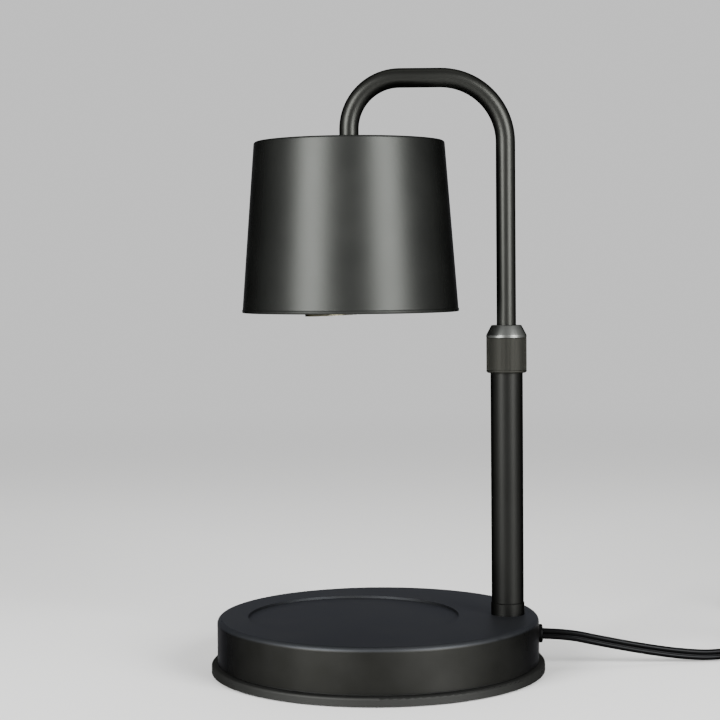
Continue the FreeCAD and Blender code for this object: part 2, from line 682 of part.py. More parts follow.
def pole():
    """Foot ring, threaded pipe, washer, nut, outer tube and ferrule."""
    foot = Piece("pole_foot")
    foot.turned([
        ("pipe_radius + running_gap", "0"), ("foot_radius", "0"), ("foot_radius", "foot_height"),
        ("tube_bore - running_gap", "foot_height"),
        ("tube_bore - running_gap", "foot_height + foot_spigot"),
        ("pipe_radius + running_gap", "foot_height + foot_spigot"),
    ])
    foot.rounded("foot_chamfer", circle_at("foot_height", "foot_radius"), "Chamfer")
    foot.placed("pole_offset", "0", "base_height")
    pipe = Piece("pole_pipe")
    pipe.turned(ring("pipe_bore", "pipe_radius", "pipe_foot", "tube_foot + foot_spigot"))
    pipe.placed("pole_offset")
    washer = Piece("pole_washer")
    washer.turned(ring("pipe_radius + seat_gap", "pole_washer_radius", "washer_foot",
                       "shell_ceiling"))
    washer.placed("pole_offset")
    nut = Piece("pole_nut")
    nut.padded("pole_nut_height", offset="nut_foot", circles=[("0", "0", "pipe_radius")],
               polygons=[hexagon("pole_nut_width")])
    nut.placed("pole_offset")
    tube = Piece("outer_tube")
    tube.turned(ring("tube_bore", "tube_radius", "tube_foot", "tube_top"))
    tube.placed("pole_offset")
    ferrule = Piece("tube_ferrule")
    ferrule.turned([
        ("arm_sleeve", "tube_top - ferrule_spigot"),
        ("tube_bore", "tube_top - ferrule_spigot"),
        ("tube_bore", "tube_top"), ("tube_radius", "tube_top"),
        ("tube_radius", "ferrule_neck"), ("thread_radius", "ferrule_neck"),
        ("thread_radius", "ferrule_top"), ("arm_sleeve", "ferrule_top"),
    ])
    ferrule.placed("pole_offset")


def lock():
    """Knurled collar on the ferrule's thread and the split ring that it squeezes."""
    collar = Piece("lock_collar")
    collar.turned([
        ("tube_radius + seat_gap", "collar_foot"), ("collar_radius", "collar_foot"),
        ("collar_radius", "collar_top - collar_cone"), ("collar_mouth", "collar_top"),
        ("arm_radius + seat_gap", "collar_top"),
        ("arm_radius + seat_gap", "collet_top + running_gap"),
        ("arm_radius + seat_gap * 2", "collet_top + running_gap"),
        ("collet_radius + running_gap * 2", "collet_foot"),
        ("thread_radius + running_gap", "collet_foot"),
        ("thread_radius + running_gap", "ferrule_neck + running_gap"),
        ("tube_radius + seat_gap", "ferrule_neck + running_gap"),
    ])
    collar.rounded("collar_chamfer", circle_at("collar_foot", "collar_radius"), "Chamfer")
    collar.placed("pole_offset")
    collet = Piece("collet")
    collet.turned([
        ("arm_sleeve", "collet_foot"), ("collet_radius", "collet_foot"),
        ("arm_radius + seat_gap * 1.6", "collet_top"), ("arm_sleeve", "collet_top"),
    ])
    collet.pocketed("collet_height + 2", offset="collet_top + 1", polygons=[
        rectangle("0", "-collet_slit / 2", "collet_radius + 1", "collet_slit / 2")])
    collet.placed("pole_offset")


# The arm

def arm():
    """Bent arm tube, its sliding bush and the two rings that hold the bush."""
    tube = Piece("arm_tube")
    path = tube.sketch("XZ_Plane")
    level = size("arm_top")
    right, left = size("pole_offset"), size("shade_axis")
    big, small = size("pole_bend"), size("shade_bend")
    corners = [
        ("pole_offset", "arm_foot"), ("pole_offset", "arm_top - pole_bend"),
        ("pole_offset - pole_bend", "arm_top"), ("shade_axis + shade_bend", "arm_top"),
        ("shade_axis", "arm_top - shade_bend"), ("shade_axis", "shade_top"),
    ]
    points = [V(size(x), size(y), 0) for x, y in corners]
    path.addGeometry(Part.LineSegment(points[0], points[1]), False)
    path.addGeometry(Part.Arc(points[1], V(right - big + big * math.cos(math.pi / 4),
                                           level - big + big * math.sin(math.pi / 4), 0),
                              points[2]), False)
    path.addGeometry(Part.LineSegment(points[2], points[3]), False)
    path.addGeometry(Part.Arc(points[3], V(left + small - small * math.cos(math.pi / 4),
                                           level - small + small * math.sin(math.pi / 4), 0),
                              points[4]), False)
    path.addGeometry(Part.LineSegment(points[4], points[5]), False)
    # An arc's own ends run counter-clockwise, against the direction of this path.
    for line, line_end, arc, arc_end in ((0, 2, 1, 1), (2, 1, 1, 2), (2, 2, 3, 1), (4, 1, 3, 2)):
        path.addConstraint(Sketcher.Constraint("Coincident", line, line_end, arc, arc_end))
    for line, end, corner in ((0, 1, 0), (0, 2, 1), (2, 1, 2), (2, 2, 3), (4, 1, 4), (4, 2, 5)):
        tube.pin_point(path, line, end, *corners[corner])
    for arc, expression in ((1, "pole_offset - pole_bend"), (3, "shade_axis + shade_bend")):
        index = path.addConstraint(
            Sketcher.Constraint("DistanceX", -1, 1, arc, 3, size(expression)))
        path.setExpression(f"Constraints[{index}]", linked(expression))
    section = tube.sketch("XY_Plane", "arm_foot")
    tube.add_circle(section, "pole_offset", "0", "arm_radius")
    tube.add_circle(section, "pole_offset", "0", "arm_bore")
    doc.recompute()
    pipe = tube.feature("AdditivePipe", section)
    pipe.Spine = path
    doc.recompute()
    bush = Piece("tube_guide")
    bush.turned(ring("arm_sleeve", "tube_bore - running_gap", "guide_foot + running_gap",
                     "guide_top - running_gap"))
    bush.placed("pole_offset")
    low = Piece("low_ring")
    low.turned(ring("arm_radius", "ring_radius", "arm_foot", "guide_foot"))
    low.placed("pole_offset")
    high = Piece("high_ring")
    high.turned(ring("arm_radius", "ring_radius", "guide_top", "guide_top + ring_height"))
    high.placed("pole_offset")
    doc.recompute()
    rings = Part.makeCompound([low.body.Shape.copy(), high.body.Shape.copy()])
    doc.removeObject(low.body.Name)
    doc.removeObject(high.body.Name)
    keep_shape("guide_rings", rings)


# The shade and the lamp holder

def shade():
    """Spun conical shade with a closed top and a rolled hem."""
    cone = Piece("shade")
    slope = "(shade_bottom_radius - shade_top_radius) / shade_height"
    hem = f"shade_bottom_radius - {slope} * hem_height"
    under_top = f"shade_top_radius + {slope} * shade_wall - shade_wall"
    cone.turned([
        ("stud_radius + seat_gap / 2", "shade_ceiling"), (under_top, "shade_ceiling"),
        (f"{hem} - shade_wall", "shade_foot + hem_height"),
        (f"{hem} - hem_wall", "shade_foot + hem_height"),
        ("shade_bottom_radius - hem_wall", "shade_foot"), ("shade_bottom_radius", "shade_foot"),
        ("shade_top_radius", "shade_top"), ("stud_radius + seat_gap / 2", "shade_top"),
    ])
    cone.rounded("shade_round", circle_at("shade_top", "shade_top_radius"))
    cone.placed("shade_axis")
    stud = Piece("shade_stud")
    stud.turned(ring("stud_bore", "stud_radius", "stud_foot", "shade_top + stud_grip"))
    stud.placed("shade_axis")
    washer = Piece("shade_washer")
    washer.turned(ring("stud_radius + seat_gap / 2", "shade_nut_width / 2 + 1",
                       "shade_nut_foot + shade_nut_height - shade_washer",
                       "shade_nut_foot + shade_nut_height"))
    washer.placed("shade_axis")
    nut = Piece("shade_nut")
    nut.padded("shade_nut_height - shade_washer", offset="shade_nut_foot",
               circles=[("0", "0", "stud_radius")], polygons=[hexagon("shade_nut_width")])
    nut.placed("shade_axis")


def holder():
    """Bracket, screws, ceramic holder with its keyhole slots, contacts and wires."""
    bracket = Piece("lampholder_bracket")
    half = "bracket_span / 2"
    foot = "bracket_span / 2 - bracket_foot"
    bracket.padded("bracket_width", role="YZ_Plane", both=True, polygons=[[
        (f"-({half})", "holder_top"), (f"-({foot})", "holder_top"),
        (f"-({foot})", "holder_top + bracket_thickness"),
        (f"-({half}) + bracket_thickness", "holder_top + bracket_thickness"),
        (f"-({half}) + bracket_thickness", "bracket_under"),
        (f"{half} - bracket_thickness", "bracket_under"),
        (f"{half} - bracket_thickness", "holder_top + bracket_thickness"),
        (foot, "holder_top + bracket_thickness"), (foot, "holder_top"),
        (half, "holder_top"), (half, "shade_ceiling"), (f"-({half})", "shade_ceiling"),
    ]])
    bracket.pocketed("bracket_thickness + 2 * cut_over", offset="shade_ceiling + cut_over",
                     circles=[("0", "0", "stud_radius + seat_gap / 2")])
    screw_at = "bracket_span / 2 - bracket_thickness - holder_screw_head - seat_gap"
    bracket.pocketed("bracket_thickness + 2 * cut_over", offset="holder_top + bracket_thickness + cut_over",
                     circles=[("0", screw_at, "holder_screw_radius + screw_play"),
                              ("0", f"-({screw_at})", "holder_screw_radius + screw_play")])
    bracket.placed("shade_axis")
    body = Piece("lampholder_body")
    body.turned(ring("0", "holder_radius", "0", "holder_height"))
    body.rounded("holder_round", circle_at("0", "holder_radius"))
    reach = f"(pin_head + pin_room) / pin_circle * {RADIAN} * {CHORD_ROOM}"
    slot = body.grooved([("pin_circle - pin_radius - pin_room", "-1"),
                         ("pin_circle + pin_radius + pin_room", "-1"),
                         ("pin_circle + pin_radius + pin_room", "slot_depth"),
                         ("pin_circle - pin_radius - pin_room", "slot_depth")],
                        f"twist_angle + 2 * (pin_radius + pin_room) / pin_circle * {RADIAN}",
                        "-twist_angle / 2")
    room = body.grooved([("pin_circle - pin_head - pin_room", "slot_depth"),
                         ("pin_circle + pin_head + pin_room", "slot_depth"),
                         ("pin_circle + pin_head + pin_room", "pin_length + pin_room"),
                         ("pin_circle - pin_head - pin_room", "pin_length + pin_room")],
                        f"twist_angle + 2 * {reach}", "-twist_angle / 2")
    entry = body.pocketed("slot_depth + 2 * cut_over", offset="slot_depth", circles=[
        ("pin_circle * cos(twist_angle)", "-pin_circle * sin(twist_angle)",
         "pin_head + entry_room")])
    body.repeated([slot, room], "2")
    body.pocketed("slot_depth + 2 * cut_over", offset="slot_depth", circles=[
        ("-pin_circle * cos(twist_angle)", "pin_circle * sin(twist_angle)",
         "pin_head + entry_room")])
    body.pocketed("holder_screw_grip + 2 * cut_over", offset="holder_height", circles=[
        ("0", screw_at, "holder_screw_radius"), ("0", f"-({screw_at})", "holder_screw_radius")])
    body.pocketed("holder_height - pin_length - pin_room", offset="holder_height", circles=[
        ("pin_circle", "0", "contact_radius + seat_gap"),
        ("-pin_circle", "0", "contact_radius + seat_gap")])
    body.placed("shade_axis", "0", "holder_foot")
    screws = Piece("lampholder_screw")
    screws.turned([("0", "-holder_screw_grip"), ("holder_screw_radius", "-holder_screw_grip"),
                   ("holder_screw_radius", "bracket_thickness"),
                   ("holder_screw_head", "bracket_thickness"),
                   ("holder_screw_head", "bracket_thickness + holder_screw_rise"),
                   ("0", "bracket_thickness + holder_screw_rise")])
    shape = copies_round_z("lampholder_screws", screws, 0, size(screw_at), 2)
    shape.Placement = FreeCAD.Placement(V(size("shade_axis"), 0, size("holder_top")),
                                        FreeCAD.Rotation())
    contact = Piece("lampholder_contact")
    contact.turned([("0", "0"), ("contact_radius", "0"), ("contact_radius", "contact_cup"),
                    ("wire_radius", "contact_cup"), ("wire_radius", "contact_height"),
                    ("0", "contact_height")])
    shape = copies_round_z("lampholder_contacts", contact, size("pin_circle"), 0, 2)
    shape.Placement = FreeCAD.Placement(V(size("shade_axis"), 0, size("contact_foot")),
                                        FreeCAD.Rotation())


# The bulb

def bulb():
    """Twist-in reflector bulb: base, pins, reflector, capsule and front lens, all slightly askew."""
    base = Piece("bulb_base")
    base.turned([("0", "0"), ("bulb_neck - neck_chamfer", "0"), ("bulb_neck", "-neck_chamfer"),
                 ("bulb_neck", "-neck_length"), ("0", "-neck_length")])
    outer = []
    inner = []
    steps = 8
    for i in range(steps + 1):
        share = i / steps
        height = f"-neck_length - (bulb_length - neck_length - rim_length) * {share}"
        radius = f"bulb_neck + (bulb_radius - rim_step - bulb_neck) * {share ** REFLECTOR_CURVE:.4f}"
        outer.append((radius, height))
        inner.append((f"{radius} - glass_wall", height))
    rim = [("bulb_radius", "-bulb_length + rim_length - rim_taper"),
           ("bulb_radius", "-bulb_length + lens_inset"),
           ("bulb_radius - glass_wall", "-bulb_length + lens_inset"),
           ("bulb_radius - glass_wall", "-bulb_length + rim_length - rim_taper")]
    reflector = Piece("bulb_reflector")
    reflector.turned(outer + rim + inner[::-1])
    lens = Piece("bulb_lens")
    edge = "(bulb_radius - glass_wall)"
    lens.turned([("0", "-bulb_length"), (f"{edge} * 0.6", "-bulb_length + lens_inset * 0.15"),
                 (f"{edge} * 0.9", "-bulb_length + lens_inset * 0.55"), (edge, "-bulb_length + lens_inset"),
                 (edge, "-bulb_length + lens_edge"), ("0", "-bulb_length + lens_middle")])
    capsule = Piece("bulb_capsule")
    shoulder = "-neck_length - capsule_neck - (capsule_radius - capsule_stem) * 1.5"
    capsule.turned([("0", "-neck_length"), ("capsule_stem", "-neck_length"),
                    ("capsule_stem", "-neck_length - capsule_neck"), ("capsule_radius", shoulder),
                    ("capsule_radius", "-neck_length - capsule_length + capsule_radius"),
                    ("capsule_radius / 2", "-neck_length - capsule_length"),
                    ("0", "-neck_length - capsule_length")])
    pin = Piece("bulb_pin")
    pin.turned([("0", "0"), ("pin_radius", "0"), ("pin_radius", "pin_length - pin_head_height"),
                ("pin_head", "pin_length - pin_head_height"), ("pin_head", "pin_length"),
                ("0", "pin_length")])
    pins = copies_round_z("bulb_pins", pin, size("pin_circle"), 0, 2)
    seat = FreeCAD.Placement(V(size("shade_axis"), 0, size("bulb_shoulder")),
                             FreeCAD.Rotation(V(0, -1, 0), size("bulb_tilt")))
    pins.Placement = seat
    for piece in (base, reflector, lens, capsule):
        piece.body.Placement = seat
        piece.placed("shade_axis", "0", "bulb_shoulder")
        piece.body.setExpression("Placement.Rotation.Angle", linked("bulb_tilt"))


# Leads inside the lamp

def leads():
    """Lead through the arm, slack lead in the pole, wires in the base and over the holder."""
    right, left = size("pole_offset"), size("shade_axis")
    level = size("arm_top")
    big, small = size("pole_bend"), size("shade_bend")
    turn_right, turn_left = V(right, 0, level), V(left, 0, level)
    stops = [V(right, 0, size("arm_foot")), V(right, 0, level - big), V(right - big, 0, level),
             V(left + small, 0, level), V(left, 0, level - small), V(left, 0, size("stud_foot"))]
    wire = Part.Wire([
        Part.LineSegment(stops[0], stops[1]).toShape(),
        arc_between(stops[1], turn_right, stops[2]),
        Part.LineSegment(stops[2], stops[3]).toShape(),
        arc_between(stops[3], turn_left, stops[4]),
        Part.LineSegment(stops[4], stops[5]).toShape(),
    ])
    keep_shape("arm_lead", tube_solid(wire, size("lead_radius"), "arm_lead"))
    slack = Piece("pole_lead")
    slack.turned(ring("0", "lead_radius", "lead_foot", "arm_foot"))
    slack.placed("pole_offset")
    wires = []
    contact_top = size("contact_foot + contact_height")
    end = size("stud_foot")
    reach = size("pin_circle")
    for side in (-1, 1):
        beside = left + side * size("wire_pair")
        points = [V(beside, 0, end), V(beside, 0, end - size("wire_drop")),
                  V(left + side * reach, 0, end - size("wire_fan")),
                  V(left + side * reach, 0, contact_top)]
        wires.append(tube_solid(rounded_route(points)[0], size("wire_radius"), "holder wire"))
    keep_shape("lampholder_leads", Part.makeCompound(wires))
    wires = []
    caps = []
    rest = size("floor_inside + connector_radius + connector_gap")
    mouth = right - size("connector_back")
    exit_x = cord_start()
    bend, apart, core = size("wire_bend"), size("wire_spread"), size("lead_radius / 2")
    for side in (-1, 1):
        deep = side * size("connector_spread")
        far, near = deep + side * apart, deep - side * apart
        cord_wire = [V(exit_x, side * apart, size("cord_height")),
                     V(exit_x - bend / 2, side * apart, size("cord_height")),
                     V(right - bend / 2, deep * 0.7, rest + 2),
                     V(mouth + bend, far, rest), V(mouth, far, rest)]
        pole_wire = [V(right - core, side * core, size("lead_foot")),
                     V(right - core, side * core, size("lead_foot") - bend / 2),
                     V(right - bend, deep * 0.4, rest),
                     V(mouth + bend, near, rest), V(mouth, near, rest)]
        for points in (cord_wire, pole_wire):
            wires.append(tube_solid(rounded_route(points)[0], size("wire_radius"), "base wire"))
        caps.append(Part.makeCylinder(size("connector_radius"), size("connector_length"),
                                      V(mouth, deep, rest), V(-1, 0, 0)))
    keep_shape("base_leads", Part.makeCompound(wires))
    keep_shape("wire_connectors", Part.makeCompound(caps))


# The cord, its coil and what is on it

# Points of the cord, chosen by hand, from the foot of the base's edge where the cord comes out.
# The first two lie at the height of its hole.
TO_CASE = [V(-6.5, 0), V(12, 0), V(32, 1.4, 12.4), V(54, 4.4, 7.7), V(74, 7.6, 4.3),
           V(92, 10.4, 2.95)]
IN_CASE = [V(125, 15, 8), V(184.4, 23.4, 8)]
TO_COIL = [V(212, 29, 5), V(227.5, 41.5, 3.9), V(232.5, 57.5, 3.45), V(232.5, 73.5, 3.45)]
TO_PLUG = [V(232.5, 84.5, 9.5), V(232.5, 100, 9.5), V(225.5, 118, 8.6), V(210, 130, 7.5),
           V(192, 132.5, 7.5)]


def from_base(points):
    """Return points of the cord in the lamp's own frame."""
    edge = size("base_radius")
    return [V(edge + p.x, p.y, p.z or size("cord_height")) for p in points]


def cord_start():
    """Return where the cord begins inside the base."""
    return from_base(TO_CASE)[0].x


def coil_point(turns):
    """Return the coil's centre line after that many turns: it winds in, climbs and winds out."""
    half = size("coil_turns") / 2
    radius = size("coil_radius") - size("coil_pitch") * (half - abs(turns - half))
    climb = min(max((turns - half) * 2 + 0.5, 0), 1)
    height = size("coil_floor") + size("coil_pitch") * (1 - math.cos(math.pi * climb)) / 2
    angle = 2 * math.pi * turns
    return coil_middle() + V(radius * math.cos(angle), radius * math.sin(angle), height)


def coil_middle():
    """Return the middle of the coil on the table, from where the cord comes in."""
    last = from_base(TO_COIL)[-1]
    return V(last.x - size("coil_radius"), last.y + size("cord_width"), 0)


def coil_wire():
    """Return the coil's centre line: two arcs for every quarter turn and straight ends."""
    knots = int(size("coil_turns")) * 4
    step = 0.02
    places = [coil_point(i / 4) for i in range(knots + 1)]
    ways = [(coil_point(i / 4 + step) - coil_point(i / 4 - step)).normalize()
            for i in range(knots + 1)]
    ways[0] = ways[-1] = V(0, 1, 0)
    reach = V(0, size("cord_width"), 0)
    edges = [Part.LineSegment(places[0] - reach, places[0]).toShape()]
    for i in range(knots):
        edges += biarc(places[i], ways[i], places[i + 1], ways[i + 1])
    edges.append(Part.LineSegment(places[-1], places[-1] + reach).toShape())
    return Part.Wire(edges)


def least_gap(wire, radius):
    """Return the least gap between parts of a tube that are far apart along it."""
    points = wire.discretize(Distance=1.5)
    skip = int(4 * radius * math.pi / 1.5)
    least = 1e9
    for i, point in enumerate(points):
        for other in points[i + skip:]:
            least = min(least, point.distanceToPoint(other))
    return least - 2 * radius


def cord():
    """Bushing in the base, the free cord, its coil and tie, and the end at the plug."""
    bushing = Piece("cord_grommet")
    bushing.turned([
        ("cord_radius + running_gap", "-shell_wall - grommet_tail"),
        ("grommet_neck - running_gap", "-shell_wall - grommet_tail"),
        ("grommet_neck - running_gap", "0"), ("grommet_radius", "0"),
        ("grommet_radius", "grommet_flange"), ("cord_radius + running_gap", "grommet_flange"),
    ])
    bushing.rounded("grommet_round", circle_at("grommet_flange", "grommet_radius"))
    bushing.body.Placement = FreeCAD.Placement(V(), FreeCAD.Rotation(V(0, 1, 0), 90))
    bushing.placed("base_radius", "0", "cord_height")
    radius = size("cord_radius")
    keep_shape("cord_run", routed_tube(from_base(TO_CASE + IN_CASE + TO_COIL), radius, "cord_run"))
    wire = coil_wire()
    print(f"cord_coil: least gap to itself {least_gap(wire, radius):.2f}")
    keep_shape("cord_coil", tube_solid(wire, radius, "cord_coil"))
    keep_shape("cord_end", routed_tube(from_base(TO_PLUG), radius, "cord_end"))
    tie = Piece("cord_tie")
    tie.padded("tie_width", role="XZ_Plane", both=True, polygons=[
        rectangle("tie_inner - tie_thickness", "0", "tie_outer + tie_thickness",
                  "tie_top + tie_thickness"),
        rectangle("tie_inner", "tie_thickness", "tie_outer", "tie_top")])
    tie.body.Placement = FreeCAD.Placement(coil_middle(),
                                           FreeCAD.Rotation(UP, size("tie_angle")))


def dimmer():
    """Inline rotary dimmer: two case halves, screws, board, contacts, potentiometer and knob."""
    first, last = from_base(IN_CASE)
    middle = (first + last) * 0.5
    heading = math.degrees(math.atan2(last.y - first.y, last.x - first.x))
    seat = FreeCAD.Placement(V(middle.x, middle.y, 0), FreeCAD.Rotation(UP, heading))
    half, side = "case_length / 2", "case_width / 2"
    posts = [(f"{a}({half} - post_inset)", f"{b}({side} - post_inset)") for a in ("", "-") for b in ("", "-")]
    outline = rectangle(f"-{half}", f"-{side}", half, side)
    room = rectangle(f"-{half} + case_wall", f"-{side} + case_wall",
                     f"{half} - case_wall", f"{side} - case_wall")
    channel = [("0", "case_split", "cord_radius + channel_room")]
    low = Piece("dimmer_case_bottom")
    low.padded("case_split", polygons=[outline])
    low.rounded("case_round", upright)
    low.pocketed("case_split - case_wall", offset="case_split", polygons=[room])
    low.padded("case_split - case_wall", offset="case_wall",
               circles=[(x, y, "post_radius") for x, y in posts])
    low.pocketed("case_length + 2 * cut_over", role="YZ_Plane", both=True, circles=channel)
    low.pocketed("case_split + 2 * cut_over", offset="case_split",
                 circles=[(x, y, "case_screw_radius + screw_play") for x, y in posts])
    low.pocketed("case_screw_sink + case_screw_rise", offset="case_screw_sink + case_screw_rise",
                 circles=[(x, y, "case_screw_head + screw_play") for x, y in posts])
    high = Piece("dimmer_case_top")
    high.padded("case_height - case_split", offset="case_split", polygons=[outline])
    high.rounded("case_round", upright)
    level = size("case_height")
    high.rounded("case_wall", lambda edge: abs(edge.BoundBox.ZMin - level) < 0.01)
    high.pocketed("case_height - case_wall - case_split", offset="case_height - case_wall",
                  polygons=[room])
    high.padded("case_height - case_wall - case_split", offset="case_split",
                circles=[(x, y, "post_radius") for x, y in posts])
    high.pocketed("case_length + 2 * cut_over", role="YZ_Plane", both=True, circles=channel)
    high.pocketed("case_screw_grip + 2 * cut_over",
                  offset="case_split + case_screw_grip + 2 * cut_over",
                  circles=[(x, y, "case_screw_radius") for x, y in posts])
    high.pocketed("case_wall + 2 * cut_over", offset="case_height + cut_over",
                  circles=[("0", "0", "shaft_radius + running_gap")])
    screws = []
    for x, y in posts:
        spot = V(size(x), size(y), size("case_screw_sink"))
        head = Part.makeCylinder(size("case_screw_head"), size("case_screw_rise"), spot)
        shank = Part.makeCylinder(size("case_screw_radius"), size("case_split + case_screw_grip"),
                                  spot)
        screws.append(head.fuse(shank).removeSplitter())
    fixings = keep_shape("dimmer_screws", Part.makeCompound(screws))
    board = Piece("dimmer_board")
    board.padded("board_thickness", offset="board_foot",
                 polygons=[rectangle("-board_length / 2", "-board_width / 2",
                                     "board_length / 2", "board_width / 2")])
    fork = Piece("dimmer_contacts")
    slot = "cord_radius + running_gap"
    for place in ("fork_place", "-fork_place"):
        fork.padded("fork_thickness", role="YZ_Plane", offset=f"{place} - fork_thickness / 2",
                    polygons=[[
                        ("-fork_reach", "fork_foot"), (f"-({slot})", "fork_foot"),
                        (f"-({slot})", f"case_split + {slot}"), (slot, f"case_split + {slot}"),
                        (slot, "fork_foot"), ("fork_reach", "fork_foot"),
                        ("fork_reach", "board_foot"), ("-fork_reach", "board_foot")]])
    pot = Piece("dimmer_potentiometer")
    pot.turned(ring("0", "pot_radius", "board_top", "pot_top"))
    shaft = Piece("dimmer_shaft")
    shaft.turned(ring("0", "shaft_radius", "pot_top + running_gap", "case_height + shaft_rise"))
    knob = Piece("dimmer_knob")
    knob.turned([
        ("shaft_radius", "knob_foot"), ("knob_radius", "knob_foot"),
        ("knob_radius", "knob_foot + knob_height - knob_chamfer"),
        ("knob_radius - knob_chamfer", "knob_foot + knob_height"), ("0", "knob_foot + knob_height"),
        ("0", "case_height + shaft_rise"), ("shaft_radius", "case_height + shaft_rise"),
    ])
    flute = knob.pocketed("knob_height + 2 * cut_over", offset="knob_foot + knob_height + cut_over",
                          circles=[("knob_radius + flute_rise", "0", "flute_radius")])
    knob.repeated([flute], "knob_flutes")
    knob.pocketed("mark_depth", offset="knob_foot + knob_height", polygons=[
        rectangle("mark_start", "-mark_width / 2", "mark_end", "mark_width / 2")])
    fixings.Placement = seat
    for piece in (low, high, board, fork, pot, shaft, knob):
        piece.body.Placement = seat


def plug():
    """Two-blade plug with a tapered strain relief."""
    before, end = from_base(TO_PLUG)[-2:]
    way = end - before
    seat = FreeCAD.Placement(end,
                             FreeCAD.Rotation(UP, math.degrees(math.atan2(way.y, way.x))))
    relief = Piece("plug_relief")
    relief.turned([("0", "0"), ("cord_radius + relief_wall", "0"),
                   ("relief_thick", "relief_length"), ("0", "relief_length")])
    relief.body.Placement = seat * FreeCAD.Placement(V(), FreeCAD.Rotation(V(0, 1, 0), 90))
    body = Piece("plug_body")
    half, side = "plug_width / 2", "plug_height / 2"
    body.padded("plug_length", role="YZ_Plane", offset="relief_length",
                polygons=[rectangle(f"-{half}", f"-{side}", half, side)])
    body.rounded("plug_round", lambda edge: edge.BoundBox.XLength > 1)
    start = size("relief_length")
    body.rounded("plug_shoulder", lambda edge: abs(edge.BoundBox.XMax - start) < 0.01)
    body.body.Placement = seat
    blades = Piece("blade")
    blades.padded("blade_length", role="YZ_Plane", offset="relief_length + plug_length",
                  polygons=[rectangle("-blade_thickness / 2", "-blade_width / 2",
                                      "blade_thickness / 2", "blade_width / 2")])
    doc.recompute()
    pair = []
    for way in (-1, 1):
        blade = blades.body.Shape.copy()
        blade.translate(V(0, way * size("blade_spacing") / 2, 0))
        pair.append(blade)
    doc.removeObject(blades.body.Name)
    keep_shape("plug_blades", Part.makeCompound(pair)).Placement = seat


def write_parts():
    """Check every object and write each sub-part's solids to its own file."""
    doc.recompute()
    for item in doc.Objects:
        if "Invalid" in item.State or "Error" in item.State:
            raise RuntimeError(f"{item.Label} failed: {item.State}")
    pieces = [item for item in doc.Objects
              if item.TypeId in ("PartDesign::Body", "Part::Feature")]
    for item in pieces:
        if item.Shape.isNull() or not item.Shape.isValid() or not item.Shape.Solids:
            raise RuntimeError(f"{item.Label} has no valid shape")
    os.makedirs("parts", exist_ok=True)
    for item in pieces:
        item.Shape.exportStep(f"parts/{item.Label}.step")
    print(f"{len(pieces)} sub-parts, {sum(len(item.Shape.Solids) for item in pieces)} solids")


fill_sheet()
base_shell()
base_plate()
base_inside()
pole()
lock()
arm()
shade()
holder()
bulb()
leads()
cord()
dimmer()
plug()
write_parts()
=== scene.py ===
"""Candle warmer lamp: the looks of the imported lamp, its cord and a plain studio round it."""
from __future__ import annotations

import json
import logging
import math
from dataclasses import dataclass
from enum import Enum
from typing import Any, Callable, Iterable, Sequence, Union

import bmesh
import bpy
from mathutils import Matrix, Vector

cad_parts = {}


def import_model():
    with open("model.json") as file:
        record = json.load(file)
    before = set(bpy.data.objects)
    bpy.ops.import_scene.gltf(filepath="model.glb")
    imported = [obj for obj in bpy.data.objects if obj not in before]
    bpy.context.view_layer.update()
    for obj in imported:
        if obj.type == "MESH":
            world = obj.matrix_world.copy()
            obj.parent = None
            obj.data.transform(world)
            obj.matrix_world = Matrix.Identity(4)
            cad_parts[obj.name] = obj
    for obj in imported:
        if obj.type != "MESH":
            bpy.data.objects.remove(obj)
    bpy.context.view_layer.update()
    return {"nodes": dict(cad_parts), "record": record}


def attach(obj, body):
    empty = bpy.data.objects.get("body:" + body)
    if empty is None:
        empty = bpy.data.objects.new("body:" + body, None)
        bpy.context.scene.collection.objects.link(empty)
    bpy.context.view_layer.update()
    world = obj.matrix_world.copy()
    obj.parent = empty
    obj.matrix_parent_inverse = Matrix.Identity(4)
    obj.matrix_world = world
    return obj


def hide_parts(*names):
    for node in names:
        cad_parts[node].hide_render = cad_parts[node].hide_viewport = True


LOG = logging.getLogger("candle_warmer_lamp")
Point = tuple[float, float, float]
Colour = tuple[float, float, float]


class Body(str, Enum):
    """The bodies of the frame that new pieces ride on."""

    ROOT = "root"
    COLLAR = "collar"
    ARM = "arm"


# Shader maths and nodes


class Signal:
    """One output of a shader node, with arithmetic that adds Math nodes."""

    def __init__(self, graph: Graph, socket: bpy.types.NodeSocket) -> None:
        """Keep the socket and the graph that it belongs to."""
        self.graph = graph
        self.socket = socket

    def maths(self, operation: str, *values: Union[Signal, float]) -> Signal:
        """Add one Math node.

        Args:
            operation: The Math node's operation.
            values: Its inputs in order, as signals or numbers.

        Returns:
            The node's result.
        """
        sockets = dict(enumerate(values))
        return self.graph.out("ShaderNodeMath", {"operation": operation}, sockets)

    def __add__(self, other: Union[Signal, float]) -> Signal:
        """Add a signal or number."""
        return self.maths("ADD", self, other)

    def __sub__(self, other: Union[Signal, float]) -> Signal:
        """Take away a signal or number."""
        return self.maths("SUBTRACT", self, other)

    def __rsub__(self, other: float) -> Signal:
        """Take this signal away from a number."""
        return self.maths("SUBTRACT", other, self)

    def __mul__(self, other: Union[Signal, float]) -> Signal:
        """Multiply by a signal or number."""
        return self.maths("MULTIPLY", self, other)

    __radd__ = __add__
    __rmul__ = __mul__

    def greatest(self, other: Union[Signal, float]) -> Signal:
        """Take the greater of the two."""
        return self.maths("MAXIMUM", self, other)

    def least(self, other: Union[Signal, float]) -> Signal:
        """Take the lesser of the two."""
        return self.maths("MINIMUM", self, other)


